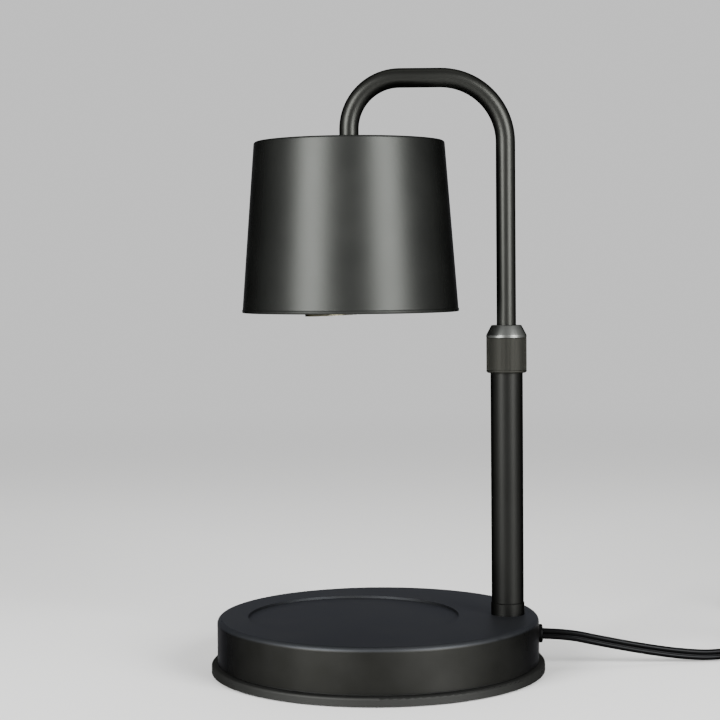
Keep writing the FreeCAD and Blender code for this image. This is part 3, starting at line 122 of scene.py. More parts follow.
class Graph:
    """The node tree of one material or world."""

    def __init__(self, tree: bpy.types.NodeTree) -> None:
        """Start from an empty tree."""
        self.tree = tree
        tree.nodes.clear()

    def node(self, kind: str, settings: dict[str, Any] | None = None,
             sockets: dict[Union[str, int], Any] | None = None) -> bpy.types.Node:
        """Add one node.

        Args:
            kind: The node's type.
            settings: Properties that are set first.
            sockets: Values or signals for its inputs, by name or number.

        Returns:
            The new node.
        """
        made = self.tree.nodes.new(kind)
        for key, value in (settings or {}).items():
            setattr(made, key, value)
        for key, value in (sockets or {}).items():
            socket = made.inputs[key] if isinstance(key, int) else next(
                s for s in made.inputs if s.name == key and not s.is_unavailable)
            if isinstance(value, Signal):
                self.tree.links.new(value.socket, socket)
            elif isinstance(value, tuple) and len(value) == 3 and socket.type == "RGBA":
                socket.default_value = (*value, 1)
            else:
                socket.default_value = value
        return made

    def out(self, kind: str, settings: dict[str, Any] | None = None,
            sockets: dict[Union[str, int], Any] | None = None,
            name: Union[str, int] = 0) -> Signal:
        """Add a node and return one of its outputs."""
        return Signal(self, self.node(kind, settings, sockets).outputs[name])

    def place(self) -> Signal:
        """Return the object coordinates, in metres."""
        return self.out("ShaderNodeTexCoord", name="Object")

    def noise(self, size: float, detail: float = 2.0, stretch: Point = (1, 1, 1)) -> Signal:
        """Return noise on object coordinates.

        Args:
            size: The size of its grain in metres.
            detail: How many finer layers it has.
            stretch: Factors on the coordinates; under 1 draws the grain out.

        Returns:
            The noise, from 0 to 1.
        """
        spot = self.out("ShaderNodeMapping", {}, {"Vector": self.place(), "Scale": stretch})
        return self.out("ShaderNodeTexNoise", {},
                        {"Vector": spot, "Scale": 1 / size, "Detail": detail})

    def rings(self, pitch: float) -> Signal:
        """Return uneven fine rings stacked along Z, about a pitch apart."""
        axes = self.node("ShaderNodeSeparateXYZ", {}, {"Vector": self.place()})
        height = Signal(self, axes.outputs["Z"])
        return self.out("ShaderNodeTexNoise", {"noise_dimensions": "1D"},
                        {"W": height * (1 / pitch), "Scale": 1.0, "Detail": 3.0})

    def blend(self, share: Signal, first: Any, second: Any) -> Signal:
        """Mix two colours by a share from 0 to 1."""
        return self.out("ShaderNodeMix", {"data_type": "RGBA"},
                        {"Factor": share, "A": first, "B": second}, name=2)

    def bump(self, height: Signal, depth: float) -> Signal:
        """Turn a height from 0 to 1 into a normal, for relief of that depth in metres."""
        return self.out("ShaderNodeBump", {}, {"Height": height, "Distance": depth,
                                               "Strength": 1.0})


def new_material(name: str, build: Callable[[Graph], bpy.types.Node]) -> bpy.types.Material:
    """Make a material from a function that returns its surface shader.

    Args:
        name: The material's name.
        build: Adds the nodes and returns the shader node.

    Returns:
        The material.
    """
    made = bpy.data.materials.new(name)
    made.use_nodes = True
    graph = Graph(made.node_tree)
    shader = build(graph)
    graph.node("ShaderNodeOutputMaterial", {}, {"Surface": Signal(graph, shader.outputs[0])})
    return made


# Finishes


@dataclass(frozen=True)
class Finish:
    """A surface with cloudy colour, uneven gloss and a fine grain.

    Attributes:
        name: Name of the material.
        low: Colour in the darker clouds.
        high: Colour in the lighter clouds.
        roughness: Middle roughness.
        uneven: How far the roughness goes either way.
        metallic: 0 for paint and plastic, 1 for bare metal.
        grain: Size of the grain in metres.
        depth: Relief of the grain in metres.
        spun: Relief of the turning rings in metres, 0 for none.
        ring_pitch: Distance between turning rings in metres.
        cloud: Size of the clouds in metres.
        drawn: Factors that draw the grain out along an axis.
        sockets: Constant values on the shader's own sockets.
    """

    name: str
    low: Colour
    high: Colour
    roughness: float
    uneven: float = 0.04
    metallic: float = 0.0
    grain: float = 0.0006
    depth: float = 0.000004
    spun: float = 0.0
    ring_pitch: float = 0.0011
    cloud: float = 0.02
    drawn: Point = (1, 1, 1)
    sockets: tuple[tuple[str, Any], ...] = ()

    def material(self) -> bpy.types.Material:
        """Return the finish as a material, made once."""
        known = bpy.data.materials.get(self.name)
        return known or new_material(self.name, self._build)

    def _build(self, graph: Graph) -> bpy.types.Node:
        """Add the finish's nodes."""
        cloud = graph.noise(self.cloud, 3.0)
        grain = graph.noise(self.grain, 2.0, self.drawn)
        relief = grain * self.depth
        if self.spun:
            relief = relief + graph.rings(self.ring_pitch) * self.spun
        depth = self.depth + self.spun
        normal = graph.bump(relief * (1 / depth), depth)
        return graph.node("ShaderNodeBsdfPrincipled", {}, {
            "Base Color": graph.blend(cloud, self.low, self.high),
            "Roughness": (cloud - 0.5) * (2 * self.uneven) + self.roughness,
            "Metallic": self.metallic,
            "Normal": normal,
            **dict(self.sockets),
        })


@dataclass(frozen=True)
class BasePaint:
    """Paint of the base: brushed round its side; matt on its top, where it is also painted a little
    lighter and cooler as a painted sheen of the light that falls there.

    Attributes:
        name: Name of the material.
        side: Colour round the side.
        top: Colour of the upper face, lighter and cooler than the side's: painted sheen.
        side_top: Height up to which the side's paint reaches, in metres.
        top_foot: Height from which all is top, the candle recess too, in metres.
        worn: Colour that shows through in the lighter clouds.
        cloud: Size of the clouds in metres.
        grain: Size of the grain in metres.
        ring_pitch: Distance between the brushed rings in metres.
        ring_share: Share of the rings in the relief; the rest is grain.
        depth: Relief in metres.
        roughness: Least roughness.
        uneven: How much rougher the top is, and the clouds at most.
    """

    name: str
    side: Colour
    top: Colour
    side_top: float = 0.0248
    top_foot: float = 0.0257
    worn: Colour = (0.05, 0.05, 0.048)
    cloud: float = 0.03
    grain: float = 0.0004
    ring_pitch: float = 0.0009
    ring_share: float = 0.65
    depth: float = 0.00001
    roughness: float = 0.43
    uneven: float = 0.06

    def material(self) -> bpy.types.Material:
        """Return the paint as a material."""
        return bpy.data.materials.get(self.name) or new_material(self.name, self._build)

    def _build(self, graph: Graph) -> bpy.types.Node:
        """Add the paint's nodes."""
        axes = graph.node("ShaderNodeSeparateXYZ", {}, {"Vector": graph.place()})
        height = Signal(graph, axes.outputs["Z"])
        # Share of the upper face: it is rougher there, and its lighter, cooler top colour is a
        # painted sheen.
        rise = (height - self.side_top) * (1 / (self.top_foot - self.side_top))
        top_matt_and_painted_sheen = rise.greatest(0.0).least(1.0)
        cloud = graph.noise(self.cloud, 3.0)
        grain = graph.noise(self.grain)
        relief = (grain * (1 - self.ring_share)
                  + graph.rings(self.ring_pitch) * self.ring_share)
        colour = graph.blend(top_matt_and_painted_sheen, self.side, self.top)
        worn = graph.blend((cloud - 0.4).greatest(0.0) * 0.5, colour, self.worn)
        return graph.node("ShaderNodeBsdfPrincipled", {}, {
            "Base Color": worn,
            "Roughness": top_matt_and_painted_sheen * self.uneven + cloud * self.uneven + self.roughness,
            "Metallic": 1.0,
            "Specular Tint": (0.39, 0.39, 0.41, 1),
            "Normal": graph.bump(relief, self.depth),
        })


@dataclass(frozen=True)
class Glass:
    """Lightly frosted glass of a reflector bulb's lens, pressed in small round cells.

    Attributes:
        name: Name of the material.
        tint: Colour of the clearer glass.
        roughness: Least roughness.
        cell: Size of a cell in metres.
        frosted: Tint of the frosted glass over that of the clearer.
        uneven: How much rougher the frosted glass is.
        depth: Relief of the cells in metres.
    """

    name: str
    tint: Colour
    roughness: float
    cell: float
    frosted: float = 0.92
    uneven: float = 0.1
    depth: float = 0.0003

    def material(self) -> bpy.types.Material:
        """Return the glass as a material."""
        return bpy.data.materials.get(self.name) or new_material(self.name, self._build)

    def _build(self, graph: Graph) -> bpy.types.Node:
        """Add the glass's nodes: small round cells pressed into it."""
        cells = graph.out("ShaderNodeTexVoronoi", {"feature": "SMOOTH_F1"},
                          {"Vector": graph.place(), "Scale": 1 / self.cell})
        frost = graph.noise(self.cell * 2, 2.0)
        return graph.node("ShaderNodeBsdfPrincipled", {}, {
            "Base Color": graph.blend(frost, self.tint,
                                      tuple(c * self.frosted for c in self.tint)),
            "Roughness": frost * self.uneven + self.roughness,
            "Transmission Weight": 0.85,
            "IOR": 1.5,
            "Normal": graph.bump(cells, self.depth),
        })


DARK_EDGE = (("Specular Tint", (0.13, 0.13, 0.13)),)
SATIN_PAINT = Finish("satin_black_paint", (0.021, 0.0215, 0.0195), (0.026, 0.0265, 0.0245), 0.38,
                     metallic=1.0, grain=0.0005, depth=0.000006, sockets=DARK_EDGE)
RIM_PAINT = Finish("matt_black_rim", (0.027, 0.0275, 0.026), (0.033, 0.0335, 0.032), 0.62,
                   metallic=1.0, grain=0.0005, depth=0.000006,
                   sockets=(("Specular Tint", (0.16, 0.16, 0.16)),))
SPUN_PAINT = Finish("spun_black_paint", (0.024, 0.025, 0.0235), (0.029, 0.030, 0.028), 0.41,
                    metallic=1.0, grain=0.0005, depth=0.000006, spun=0.000012,
                    ring_pitch=0.0016, sockets=(("Specular Tint", (0.20, 0.20, 0.21)),))
POLISHED_PAINT = Finish("polished_black_collar", (0.095, 0.098, 0.093), (0.12, 0.124, 0.118),
                        0.36, metallic=1.0, spun=0.000006, ring_pitch=0.0003, sockets=DARK_EDGE)
KNURL_PAINT = Finish("knurled_black_collar", (0.026, 0.026, 0.023), (0.032, 0.032, 0.028), 0.60,
                     metallic=1.0, grain=0.0004, depth=0.00001, sockets=DARK_EDGE)
# The top colour, lighter and cooler than the side's, is a painted sheen on the base's upper face.
BASE_PAINT = BasePaint("black_base_brushed_side_painted_top_sheen", (0.0145, 0.0146, 0.0132), (0.032, 0.034, 0.037))
POLE_PAINT = Finish("black_pole_paint", (0.0125, 0.0127, 0.0118), (0.0155, 0.0157, 0.0148),
                    0.42, metallic=1.0, grain=0.0005, depth=0.000006, sockets=DARK_EDGE)
FOAM = Finish("black_foam", (0.022, 0.022, 0.022), (0.04, 0.04, 0.04), 0.92, grain=0.0008,
              depth=0.00015)
CORD_VINYL = Finish("black_cord_vinyl", (0.0045, 0.0046, 0.0048), (0.0065, 0.0066, 0.0068),
                    0.30, metallic=1.0, grain=0.0012, depth=0.00001, cloud=0.03,
                    sockets=DARK_EDGE)
MOULDED = Finish("moulded_black_plastic", (0.007, 0.007, 0.0074), (0.011, 0.011, 0.0114), 0.42,
                 grain=0.00045, depth=0.00003, sockets=(("Specular IOR Level", 0.16),))
STRAP = Finish("woven_black_strap", (0.012, 0.012, 0.013), (0.03, 0.03, 0.031), 0.85,
               grain=0.0005, depth=0.00012, drawn=(1, 1, 3))
IRON = Finish("cast_iron_weight", (0.10, 0.10, 0.105), (0.17, 0.165, 0.16), 0.68, metallic=0.8,
              grain=0.0015, depth=0.0001)
ZINC = Finish("zinc_plated_steel", (0.50, 0.51, 0.53), (0.62, 0.62, 0.60), 0.32, metallic=1.0,
              grain=0.0005, depth=0.00001)
NYLON = Finish("natural_nylon", (0.66, 0.65, 0.60), (0.76, 0.75, 0.70), 0.48)
CERAMIC = Finish("ivory_ceramic", (0.74, 0.71, 0.64), (0.84, 0.81, 0.75), 0.62, grain=0.0009,
                 depth=0.00003)
BRASS = Finish("plain_brass", (0.66, 0.47, 0.20), (0.78, 0.58, 0.28), 0.28, metallic=1.0)
SHEATH = Finish("grey_lead_sheath", (0.50, 0.50, 0.48), (0.60, 0.59, 0.57), 0.42)
BOARD = Finish("green_circuit_board", (0.02, 0.12, 0.06), (0.035, 0.17, 0.085), 0.38)
FILAMENT = Finish("halogen_capsule", (0.72, 0.70, 0.66), (0.82, 0.80, 0.76), 0.15)
BULB_GLASS = Glass("ribbed_bulb_glass", (0.92, 0.90, 0.86), 0.12, 0.0032)
REFLECTOR = Finish("dichroic_reflector", (0.085, 0.080, 0.055), (0.13, 0.12, 0.085), 0.25,
                   metallic=1.0, grain=0.0035, depth=0.0002, sockets=DARK_EDGE)

AnyFinish = Union[Finish, BasePaint, Glass]

SLOT_FINISH: dict[str, AnyFinish] = {
    "black_paint": SATIN_PAINT,
    "foam_pad": FOAM,
    "cast_iron": IRON,
    "zinc_steel": ZINC,
    "nylon": NYLON,
    "ceramic": CERAMIC,
    "brass": BRASS,
    "bulb_glass": BULB_GLASS,
    "lead_sheath": SHEATH,
    "black_cord": CORD_VINYL,
    "black_plastic": MOULDED,
    "board": BOARD,
}
NODE_FINISH: dict[str, AnyFinish] = {
    "outer_tube": POLE_PAINT,
    "pole_foot": POLE_PAINT,
    "base_shell": BASE_PAINT,
    "base_plate": RIM_PAINT,
    "bulb_reflector": REFLECTOR,
    "bulb_base": CERAMIC,
    "bulb_capsule": FILAMENT,
}


# Mesh helpers


def finished(name: str, bm: bmesh.types.BMesh, finish: AnyFinish, body: Body,
             sharp: float = 35.0, place: Matrix | None = None) -> bpy.types.Object:
    """Turn a bmesh into a smooth piece that rides on a body.

    Args:
        name: The piece's name.
        bm: Its shape, which is freed.
        finish: Its material.
        body: The body that it rides on.
        sharp: Edges over this angle in degrees stay sharp.
        place: Where the shape goes, in the lamp's frame.

    Returns:
        The piece.
    """
    bmesh.ops.remove_doubles(bm, verts=bm.verts, dist=1e-6)
    bmesh.ops.recalc_face_normals(bm, faces=bm.faces)
    if place is not None:
        bmesh.ops.transform(bm, matrix=place, verts=bm.verts)
    for face in bm.faces:
        face.smooth = True
    mesh = bpy.data.meshes.new(name)
    bm.to_mesh(mesh)
    bm.free()
    mesh.set_sharp_from_angle(angle=math.radians(sharp))
    mesh.materials.append(finish.material())
    piece = bpy.data.objects.new(name, mesh)
    bpy.context.scene.collection.objects.link(piece)
    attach(piece, body.value)
    LOG.info("%s: %d faces", name, len(mesh.polygons))
    return piece


def turned(outline: Sequence[tuple[float, float]], steps: int) -> bmesh.types.BMesh:
    """Spin a closed outline round Z.

    Args:
        outline: Its (radius, height) corners in metres.
        steps: Segments in the full turn.

    Returns:
        The turned shape.
    """
    bm = bmesh.new()
    corners = [bm.verts.new((radius, 0, height)) for radius, height in outline]
    edges = [bm.edges.new((a, b)) for a, b in zip(corners, corners[1:] + corners[:1])]
    bmesh.ops.spin(bm, geom=corners + edges, cent=(0, 0, 0), axis=(0, 0, 1),
                   angle=2 * math.pi, steps=steps, use_merge=True, use_normal_flip=False,
                   use_duplicate=False)
    bmesh.ops.remove_doubles(bm, verts=bm.verts, dist=1e-7)
    return bm


def ring_edges(bm: bmesh.types.BMesh, radius: float, height: float) -> list[bmesh.types.BMEdge]:
    """Return the edges of a turned shape that lie on one ring."""
    def on_ring(vert: bmesh.types.BMVert) -> bool:
        return (abs(math.hypot(vert.co.x, vert.co.y) - radius) < 1e-6
                and abs(vert.co.z - height) < 1e-6)
    return [edge for edge in bm.edges if all(on_ring(v) for v in edge.verts)]


def rounded(bm: bmesh.types.BMesh, edges: Iterable[bmesh.types.BMEdge], reach: float,
            segments: int = 4) -> None:
    """Round edges of a shape by that reach in metres."""
    bmesh.ops.bevel(bm, geom=list(edges), offset=reach, offset_type="OFFSET", affect="EDGES",
                    segments=segments, profile=0.5, material=-1, clamp_overlap=True)


# Soft piece: the cord's route is the one in the part's source, in metres


@dataclass
class Cord:
    """Flat twin cord from the base through the dimmer and the coil to the plug."""

    edge: float = 0.080
    exit_height: float = 0.017
    exit_reach: float = 0.082
    width: float = 0.0055
    lobe: float = 0.00142
    length: float = 1.5
    coil_middle: tuple[float, float] = (0.2725, 0.079)
    coil_radius: float = 0.040
    coil_pitch: float = 0.00605
    coil_floor: float = 0.00345
    turns: int = 6
    points_per_turn: int = 16
    lobe_steps: int = 12
    groove: float = 0.96
    to_coil: tuple[Point, ...] = (
        (-0.0065, 0, 0.017), (0.012, 0, 0.017), (0.032, 0.0014, 0.0124),
        (0.054, 0.0044, 0.0077), (0.074, 0.0076, 0.0043), (0.092, 0.0104, 0.00295),
        (0.125, 0.015, 0.008), (0.1844, 0.0234, 0.008), (0.212, 0.029, 0.005),
        (0.2275, 0.0415, 0.0039), (0.2325, 0.0575, 0.00345), (0.2325, 0.0735, 0.00345),
    )
    to_plug: tuple[Point, ...] = (
        (0.2325, 0.0845, 0.0095), (0.2325, 0.100, 0.0095), (0.2255, 0.118, 0.0086),
        (0.210, 0.130, 0.0075), (0.192, 0.1325, 0.0075),
    )

    def coil_points(self) -> list[Point]:
        """Return the coil's control points: it winds in, climbs one layer and winds out."""
        points = []
        half = self.turns / 2
        for i in range(self.turns * self.points_per_turn + 1):
            done = i / self.points_per_turn
            radius = self.coil_radius - self.coil_pitch * (half - abs(done - half))
            climb = min(max((done - half) * 2 + 0.5, 0.0), 1.0)
            height = self.coil_floor + self.coil_pitch * (1 - math.cos(math.pi * climb)) / 2
            angle = 2 * math.pi * done
            points.append((self.coil_middle[0] + radius * math.cos(angle),
                           self.coil_middle[1] + radius * math.sin(angle), height))
        return points

    def route(self) -> list[Point]:
        """Return all control points of the cord in the lamp's frame."""
        def shifted(points: Sequence[Point]) -> list[Point]:
            return [(self.edge + x, y, z) for x, y, z in points]
        return shifted(self.to_coil) + self.coil_points() + shifted(self.to_plug)

    def section(self) -> bpy.types.Object:
        """Return the cord's outline, two round lobes one above the other, as a hidden curve."""
        curve = bpy.data.curves.new("cord_section", "CURVE")
        curve.dimensions = "2D"
        curve.resolution_u = 3
        apart = self.width / 2 - self.lobe
        bend = math.acos(apart / self.lobe * self.groove)
        spline = curve.splines.new("POLY")
        points = []
        for side in (1, -1):
            for i in range(self.lobe_steps + 1):
                share = i / self.lobe_steps
                angle = side * math.pi / 2 + (share - 0.5) * 2 * (math.pi - bend)
                points.append((self.lobe * math.cos(angle),
                               side * apart + self.lobe * math.sin(angle)))
        spline.points.add(len(points) - 1)
        for place, (x, y) in zip(spline.points, points):
            place.co = (x, y, 0, 1)
        spline.use_cyclic_u = True
        made = bpy.data.objects.new("cord_section", curve)
        bpy.context.scene.collection.objects.link(made)
        made.hide_render = True
        return made

    def build(self, ends: Sequence[bpy.types.Object | str]) -> bpy.types.Object:
        """Args:
            ends: The pieces and nodes that are on the cord; not used.

        Returns:
            The cord.
        """
        curve = bpy.data.curves.new("power_cord", "CURVE")
        curve.dimensions = "3D"
        curve.resolution_u = 6
        curve.twist_mode = "Z_UP"
        spline = curve.splines.new("NURBS")
        route = self.route()
        spline.points.add(len(route) - 1)
        for place, point in zip(spline.points, route):
            place.co = (*point, 1)
        spline.order_u = 3
        spline.use_endpoint_u = True
        spline.use_smooth = True
        curve.bevel_mode = "OBJECT"
        curve.bevel_object = self.section()
        curve.use_fill_caps = True
        curve.materials.append(CORD_VINYL.material())
        cord = bpy.data.objects.new("power_cord", curve)
        bpy.context.scene.collection.objects.link(cord)
        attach(cord, Body.ROOT.value)
        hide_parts("cord_run", "cord_coil", "cord_end")
        LOG.info("power_cord: %d control points", len(route))
        return cord


@dataclass
class CordTie:
    """Woven strap round the coil."""

    angle: float = math.radians(215)
    width: float = 0.012
    thickness: float = 0.0006
    inner: float = 0.0179
    outer: float = 0.0436
    top: float = 0.0130
    corner: float = 0.0022

    def build(self, middle: tuple[float, float]) -> bpy.types.Object:
        """Bend the strap round the coil's section at its place.

        Args:
            middle: The coil's middle on the table.

        Returns:
            The strap.
        """
        bm = bmesh.new()
        half = self.thickness / 2
        corners = [bm.verts.new((x, -self.width / 2, z)) for x, z in (
            (self.inner, half), (self.outer, half), (self.outer, self.top), (self.inner, self.top))]
        band = bm.faces.new(corners)
        bmesh.ops.bevel(bm, geom=list(band.verts), offset=self.corner, offset_type="OFFSET",
                        affect="VERTICES", segments=4, profile=0.5, material=-1)
        rim = list(bm.edges)
        bmesh.ops.delete(bm, geom=list(bm.faces), context="FACES_ONLY")
        grown = bmesh.ops.extrude_edge_only(bm, edges=rim)
        moved = [v for v in grown["geom"] if isinstance(v, bmesh.types.BMVert)]
        bmesh.ops.translate(bm, vec=(0, self.width, 0), verts=moved)
        bmesh.ops.recalc_face_normals(bm, faces=bm.faces)
        bmesh.ops.solidify(bm, geom=list(bm.faces), thickness=self.thickness)
        place = Matrix.Translation((*middle, 0)) @ Matrix.Rotation(self.angle, 4, "Z")
        strap = finished("coil_strap", bm, STRAP, Body.ROOT, place=place)
        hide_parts("cord_tie")
        return strap


@dataclass
class Plug:
    """The plug's ribbed strain relief; its body and blades are the frame's."""

    start: Point = (0.272, 0.1325, 0.0075)
    before: Point = (0.290, 0.130, 0.0075)
    length: float = 0.020
    thin: float = 0.00325
    thick: float = 0.0057
    ribs: int = 6
    rib_share: float = 0.62
    groove_start: float = 0.66
    groove_end: float = 0.96
    groove_depth: float = 0.0009
    lip: float = 0.0001
    steps: int = 40

    def build(self) -> bpy.types.Object:
        """Turn the relief with its ribs and lay it along the cord's end."""
        outline = [(0.0, 0.0)]
        pitch = self.length / self.ribs
        for i in range(self.ribs):
            foot = i * pitch
            radius = self.thin + (self.thick - self.thin) * (i + 0.5) / self.ribs
            low = radius - self.groove_depth
            outline += [(radius, foot), (radius, foot + pitch * self.rib_share),
                        (low, foot + pitch * self.groove_start),
                        (low, foot + pitch * self.groove_end)]
        outline += [(self.thick, self.length - self.lip), (self.thick, self.length),
                    (0.0, self.length)]
        bm = turned(outline, self.steps)
        way = (Vector(self.start) - Vector(self.before)).normalized()
        place = Matrix.Translation(self.start) @ way.to_track_quat("Z", "Y").to_matrix().to_4x4()
        relief = finished("ribbed_relief", bm, MOULDED, Body.ROOT, place=place)
        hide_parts("plug_relief")
        return relief


@dataclass
class LockCollar:
    """Knurled collar with a polished conical top."""

    axis: float = 0.0648
    radius: float = 0.010
    bore: float = 0.0083
    foot: float = 0.1475
    top: float = 0.171
    cone: float = 0.0049
    mouth: float = 0.00745
    mouth_bore: float = 0.0051
    chamfer: float = 0.0006
    band: float = 0.0011
    ribs: int = 96
    rib_rise: float = 0.00016
    rib_gap: float = 0.00011
    groove_depth: float = 0.0002
    edge_round: float = 0.0003
    neck_length: float = 0.002
    neck_foot: float = 0.0085

    def build(self) -> bpy.types.Object:
        """Turn the collar, raise its knurl and polish its cone."""
        edge = self.top - self.cone
        low = self.foot + self.band
        high = edge - self.band
        groove = self.radius - self.groove_depth
        bm = turned([
            (self.bore, self.foot), (self.radius - self.chamfer, self.foot),
            (self.radius, self.foot + self.chamfer), (self.radius, low),
            (groove, low + self.groove_depth), (groove, high - self.groove_depth),
            (self.radius, high), (self.radius, edge),
            (self.mouth, self.top), (self.mouth_bore, self.top),
            (self.mouth_bore, self.top - self.neck_length),
            (self.bore, self.top - self.neck_foot),
        ], self.ribs)
        rounded(bm, ring_edges(bm, self.radius, edge), self.edge_round)
        rounded(bm, ring_edges(bm, self.mouth, self.top), self.edge_round)
        walls = [f for f in bm.faces if abs(f.normal.z) < 0.01
                 and low < f.calc_center_median().z < high
                 and math.hypot(*f.calc_center_median().xy) > groove - self.groove_depth]
        bmesh.ops.recalc_face_normals(bm, faces=bm.faces)
        bmesh.ops.inset_individual(bm, faces=walls, thickness=self.rib_gap,
                                   depth=self.rib_rise, use_even_offset=True)
        place = Matrix.Translation((self.axis, 0, 0))
        collar = finished("knurled_collar", bm, POLISHED_PAINT, Body.COLLAR,
                          sharp=28, place=place)
        collar.data.materials.append(KNURL_PAINT.material())
        for face in collar.data.polygons:
            if face.center.z < high:
                face.material_index = 1
        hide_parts("lock_collar")
        return collar


@dataclass
class Shade:
    """Spun conical shade with a folded hem and a small bead above its mouth."""

    axis: float = -0.0122
    foot: float = 0.1782
    top: float = 0.262
    top_radius: float = 0.047
    mouth_radius: float = 0.0536
    wall: float = 0.0009
    hole: float = 0.004
    round_top: float = 0.0011
    bead: float = 0.0014
    bead_rise: float = 0.00016
    hem: float = 0.0018
    hem_rise: float = 0.0004
    hem_round: float = 0.0004
    bead_sink: float = 0.00012
    bead_drop: float = 0.00025
    support: float = 0.0006
    top_support: float = 0.003
    steps: int = 192

    def build(self) -> bpy.types.Object:
        """Turn the shade and round its edges."""
        slope = (self.mouth_radius - self.top_radius) / (self.top - self.foot)
        at_bead = self.mouth_radius - slope * self.bead
        above = self.foot + self.bead
        wall = at_bead - self.bead_sink
        bm = turned([
            (self.hole, self.top - self.wall),
            (self.top_radius - self.wall * 0.95, self.top - self.wall),
            (at_bead - self.wall, above + self.hem_rise), (at_bead - self.hem, above),
            (self.mouth_radius - self.hem, self.foot), (self.mouth_radius, self.foot),
            (at_bead + self.bead_rise, above), (wall, above + self.bead_drop),
            (wall - slope * self.support, above + self.bead_drop + self.support),
            (self.top_radius + slope * self.top_support, self.top - self.top_support),
            (self.top_radius, self.top), (self.top_radius - self.top_support, self.top),
            (self.hole, self.top),
        ], self.steps)
        rounded(bm, ring_edges(bm, self.top_radius, self.top), self.round_top, 5)
        rounded(bm, ring_edges(bm, self.mouth_radius, self.foot)
                + ring_edges(bm, self.mouth_radius - self.hem, self.foot), self.hem_round, 3)
        shade = finished("spun_shade", bm, SPUN_PAINT, Body.ARM, sharp=50,
                         place=Matrix.Translation((self.axis, 0, 0)))
        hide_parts("shade")
        return shade


# Floor, light and camera


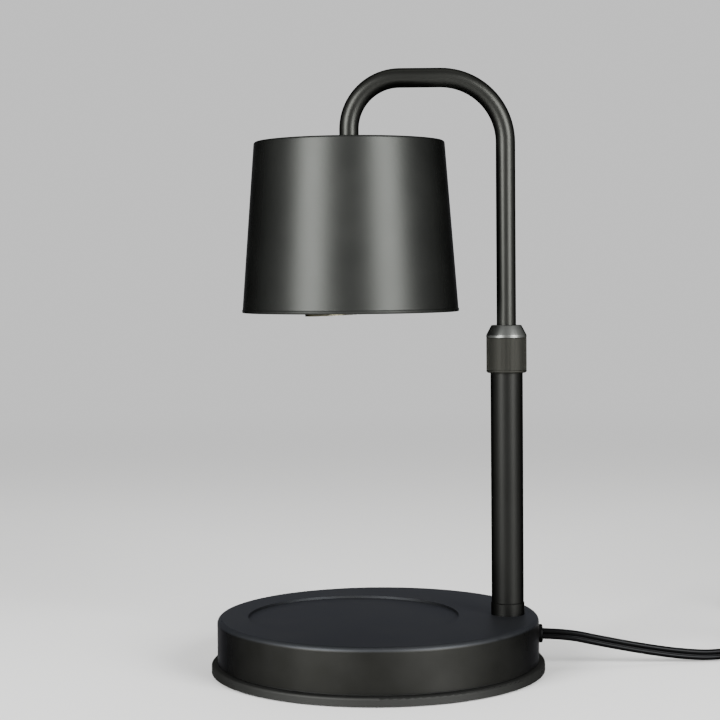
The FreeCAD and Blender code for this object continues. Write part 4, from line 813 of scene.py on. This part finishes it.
@dataclass
class Studio:
    """Pale floor and background, soft lamps and the photograph's camera."""

    floor_size: float = 12.0
    floor_colour: Colour = (0.80, 0.80, 0.79)
    duller: float = 0.98
    floor_cloud: float = 0.4
    backdrop: Colour = (0.82, 0.82, 0.82)
    fill: float = 0.35
    side_box: tuple[float, float] = (0.75, 1.1)
    side_place: Point = (1.05, -1.15, 0.62)
    side_target: Point = (0, 0, 0.18)
    left_power: float = 62
    right_power: float = 60
    top_box: tuple[float, float] = (1.2, 1.2)
    top_place: Point = (0.1, 0.5, 1.7)
    top_target: Point = (0, 0, 0.1)
    top_power: float = 9
    near: float = 0.35
    far: float = 1.7
    lens: float = 90.29
    sensor: float = 36
    nearest: float = 0.01
    eye: Point = (0, -0.89403, 0.19886)
    pitch: float = math.radians(2.854)
    yaw: float = math.radians(0.499)
    roll: float = math.radians(0.523)

    def build(self) -> None:
        """Make the whole studio."""
        self.floor()
        self.world()
        across, back, up = self.side_place
        self.softbox("left_softbox", (-across, back, up), self.side_target, self.side_box,
                     self.left_power)
        self.softbox("right_softbox", self.side_place, self.side_target, self.side_box,
                     self.right_power)
        self.softbox("top_softbox", self.top_place, self.top_target, self.top_box,
                     self.top_power)
        self.camera()

    def floor(self) -> None:
        """Lay the pale floor under the lamp."""
        bm = bmesh.new()
        bmesh.ops.create_grid(bm, x_segments=1, y_segments=1, size=self.floor_size / 2)
        mesh = bpy.data.meshes.new("floor")
        bm.to_mesh(mesh)
        bm.free()

        def surface(graph: Graph) -> bpy.types.Node:
            cloud = graph.noise(self.floor_cloud, 2.0)
            duller = tuple(c * self.duller for c in self.floor_colour)
            lit = graph.out("ShaderNodeBsdfPrincipled", {}, {
                "Base Color": graph.blend(cloud, self.floor_colour, duller),
                "Roughness": 0.75, "Specular IOR Level": 0.2})
            pale = graph.out("ShaderNodeEmission", {}, {"Color": self.backdrop, "Strength": 1.0})
            away = graph.out("ShaderNodeVectorMath", {"operation": "LENGTH"},
                             {0: graph.place()}, name="Value")
            share = ((away - self.near) * (1 / (self.far - self.near))).greatest(0.0).least(1.0)
            soft = share * share * (3.0 - 2.0 * share)
            return graph.node("ShaderNodeMixShader", {}, {0: soft * self.seen(graph), 1: lit,
                                                          2: pale})

        mesh.materials.append(new_material("pale_floor", surface))
        floor = bpy.data.objects.new("floor", mesh)
        bpy.context.scene.collection.objects.link(floor)

    @staticmethod
    def seen(graph: Graph) -> Signal:
        """Return 1 for the rays that look at the background: from camera, gloss or glass."""
        rays = graph.node("ShaderNodeLightPath")
        return Signal(graph, rays.outputs["Is Camera Ray"]).greatest(
            Signal(graph, rays.outputs["Is Glossy Ray"])).greatest(
            Signal(graph, rays.outputs["Is Transmission Ray"]))

    def world(self) -> None:
        """Show a pale background to camera, gloss and glass, and a softer fill to the rest."""
        world = bpy.data.worlds.new("studio")
        world.use_nodes = True
        bpy.context.scene.world = world
        graph = Graph(world.node_tree)
        seen = self.seen(graph)
        shown = graph.out("ShaderNodeBackground", {}, {"Color": self.backdrop, "Strength": 1.0})
        lit = graph.out("ShaderNodeBackground", {}, {"Color": (1.0, 1.0, 1.0),
                                                     "Strength": self.fill})
        mixed = graph.out("ShaderNodeMixShader", {}, {0: seen, 1: lit, 2: shown})
        graph.node("ShaderNodeOutputWorld", {}, {"Surface": mixed})

    @staticmethod
    def softbox(name: str, place: Point, target: Point, box: tuple[float, float],
                power: float) -> None:
        """Hang one large soft lamp.

        Args:
            name: Its name.
            place: Where it hangs, in metres.
            target: The point that it faces.
            box: Its width and height in metres.
            power: Its power in watts.
        """
        lamp = bpy.data.lights.new(name, "AREA")
        lamp.shape = "RECTANGLE"
        lamp.size, lamp.size_y = box
        lamp.energy = power
        made = bpy.data.objects.new(name, lamp)
        way = Vector(target) - Vector(place)
        made.matrix_world = (Matrix.Translation(place)
                             @ way.to_track_quat("-Z", "Y").to_matrix().to_4x4())
        made.visible_camera = False
        bpy.context.scene.collection.objects.link(made)

    def camera(self) -> None:
        """Set the camera as fitted to the photograph."""
        data = bpy.data.cameras.new("photo_camera")
        data.lens = self.lens
        data.sensor_width = self.sensor
        data.clip_start = self.nearest
        camera = bpy.data.objects.new("photo_camera", data)
        bpy.context.scene.collection.objects.link(camera)
        ahead = Vector((-math.sin(self.yaw) * math.cos(self.pitch),
                        math.cos(self.yaw) * math.cos(self.pitch), -math.sin(self.pitch)))
        level = Vector((math.cos(self.yaw), math.sin(self.yaw), 0))
        upright = level.cross(ahead)
        right = math.cos(self.roll) * level - math.sin(self.roll) * upright
        above = math.sin(self.roll) * level + math.cos(self.roll) * upright
        turn = Matrix((right, above, -ahead)).transposed().to_4x4()
        camera.matrix_world = Matrix.Translation(self.eye) @ turn
        bpy.context.scene.camera = camera


def dress_frame(frame: dict[str, Any]) -> None:
    """Give every node of the frame its finish.
    """
    slots = {part["node"]: part["material_slot"] for part in frame["record"]["subparts"]}
    for name, node in frame["nodes"].items():
        finish = NODE_FINISH.get(name) or SLOT_FINISH[slots[name]]
        material = finish.material()
        if not node.material_slots:
            node.data.materials.append(material)
        for slot in node.material_slots:
            slot.material = material
    LOG.info("dressed %d nodes of the frame", len(frame["nodes"]))


def main() -> None:
    """Load the frame, set the camera, lay the cord and dress the lamp."""
    logging.basicConfig(level=logging.INFO, format="%(name)s: %(message)s")
    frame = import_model()
    Studio().build()
    dress_frame(frame)
    cord = Cord()
    strap = CordTie().build(cord.coil_middle)
    relief = Plug().build()
    on_cord = [strap, relief, "plug_body", "plug_blades", "dimmer_case_bottom",
               "dimmer_case_top", "dimmer_screws", "dimmer_board", "dimmer_contacts",
               "dimmer_potentiometer", "dimmer_shaft", "dimmer_knob"]
    cord.build(on_cord)
    LockCollar().build()
    Shade().build()


if __name__ == "__main__":
    main()
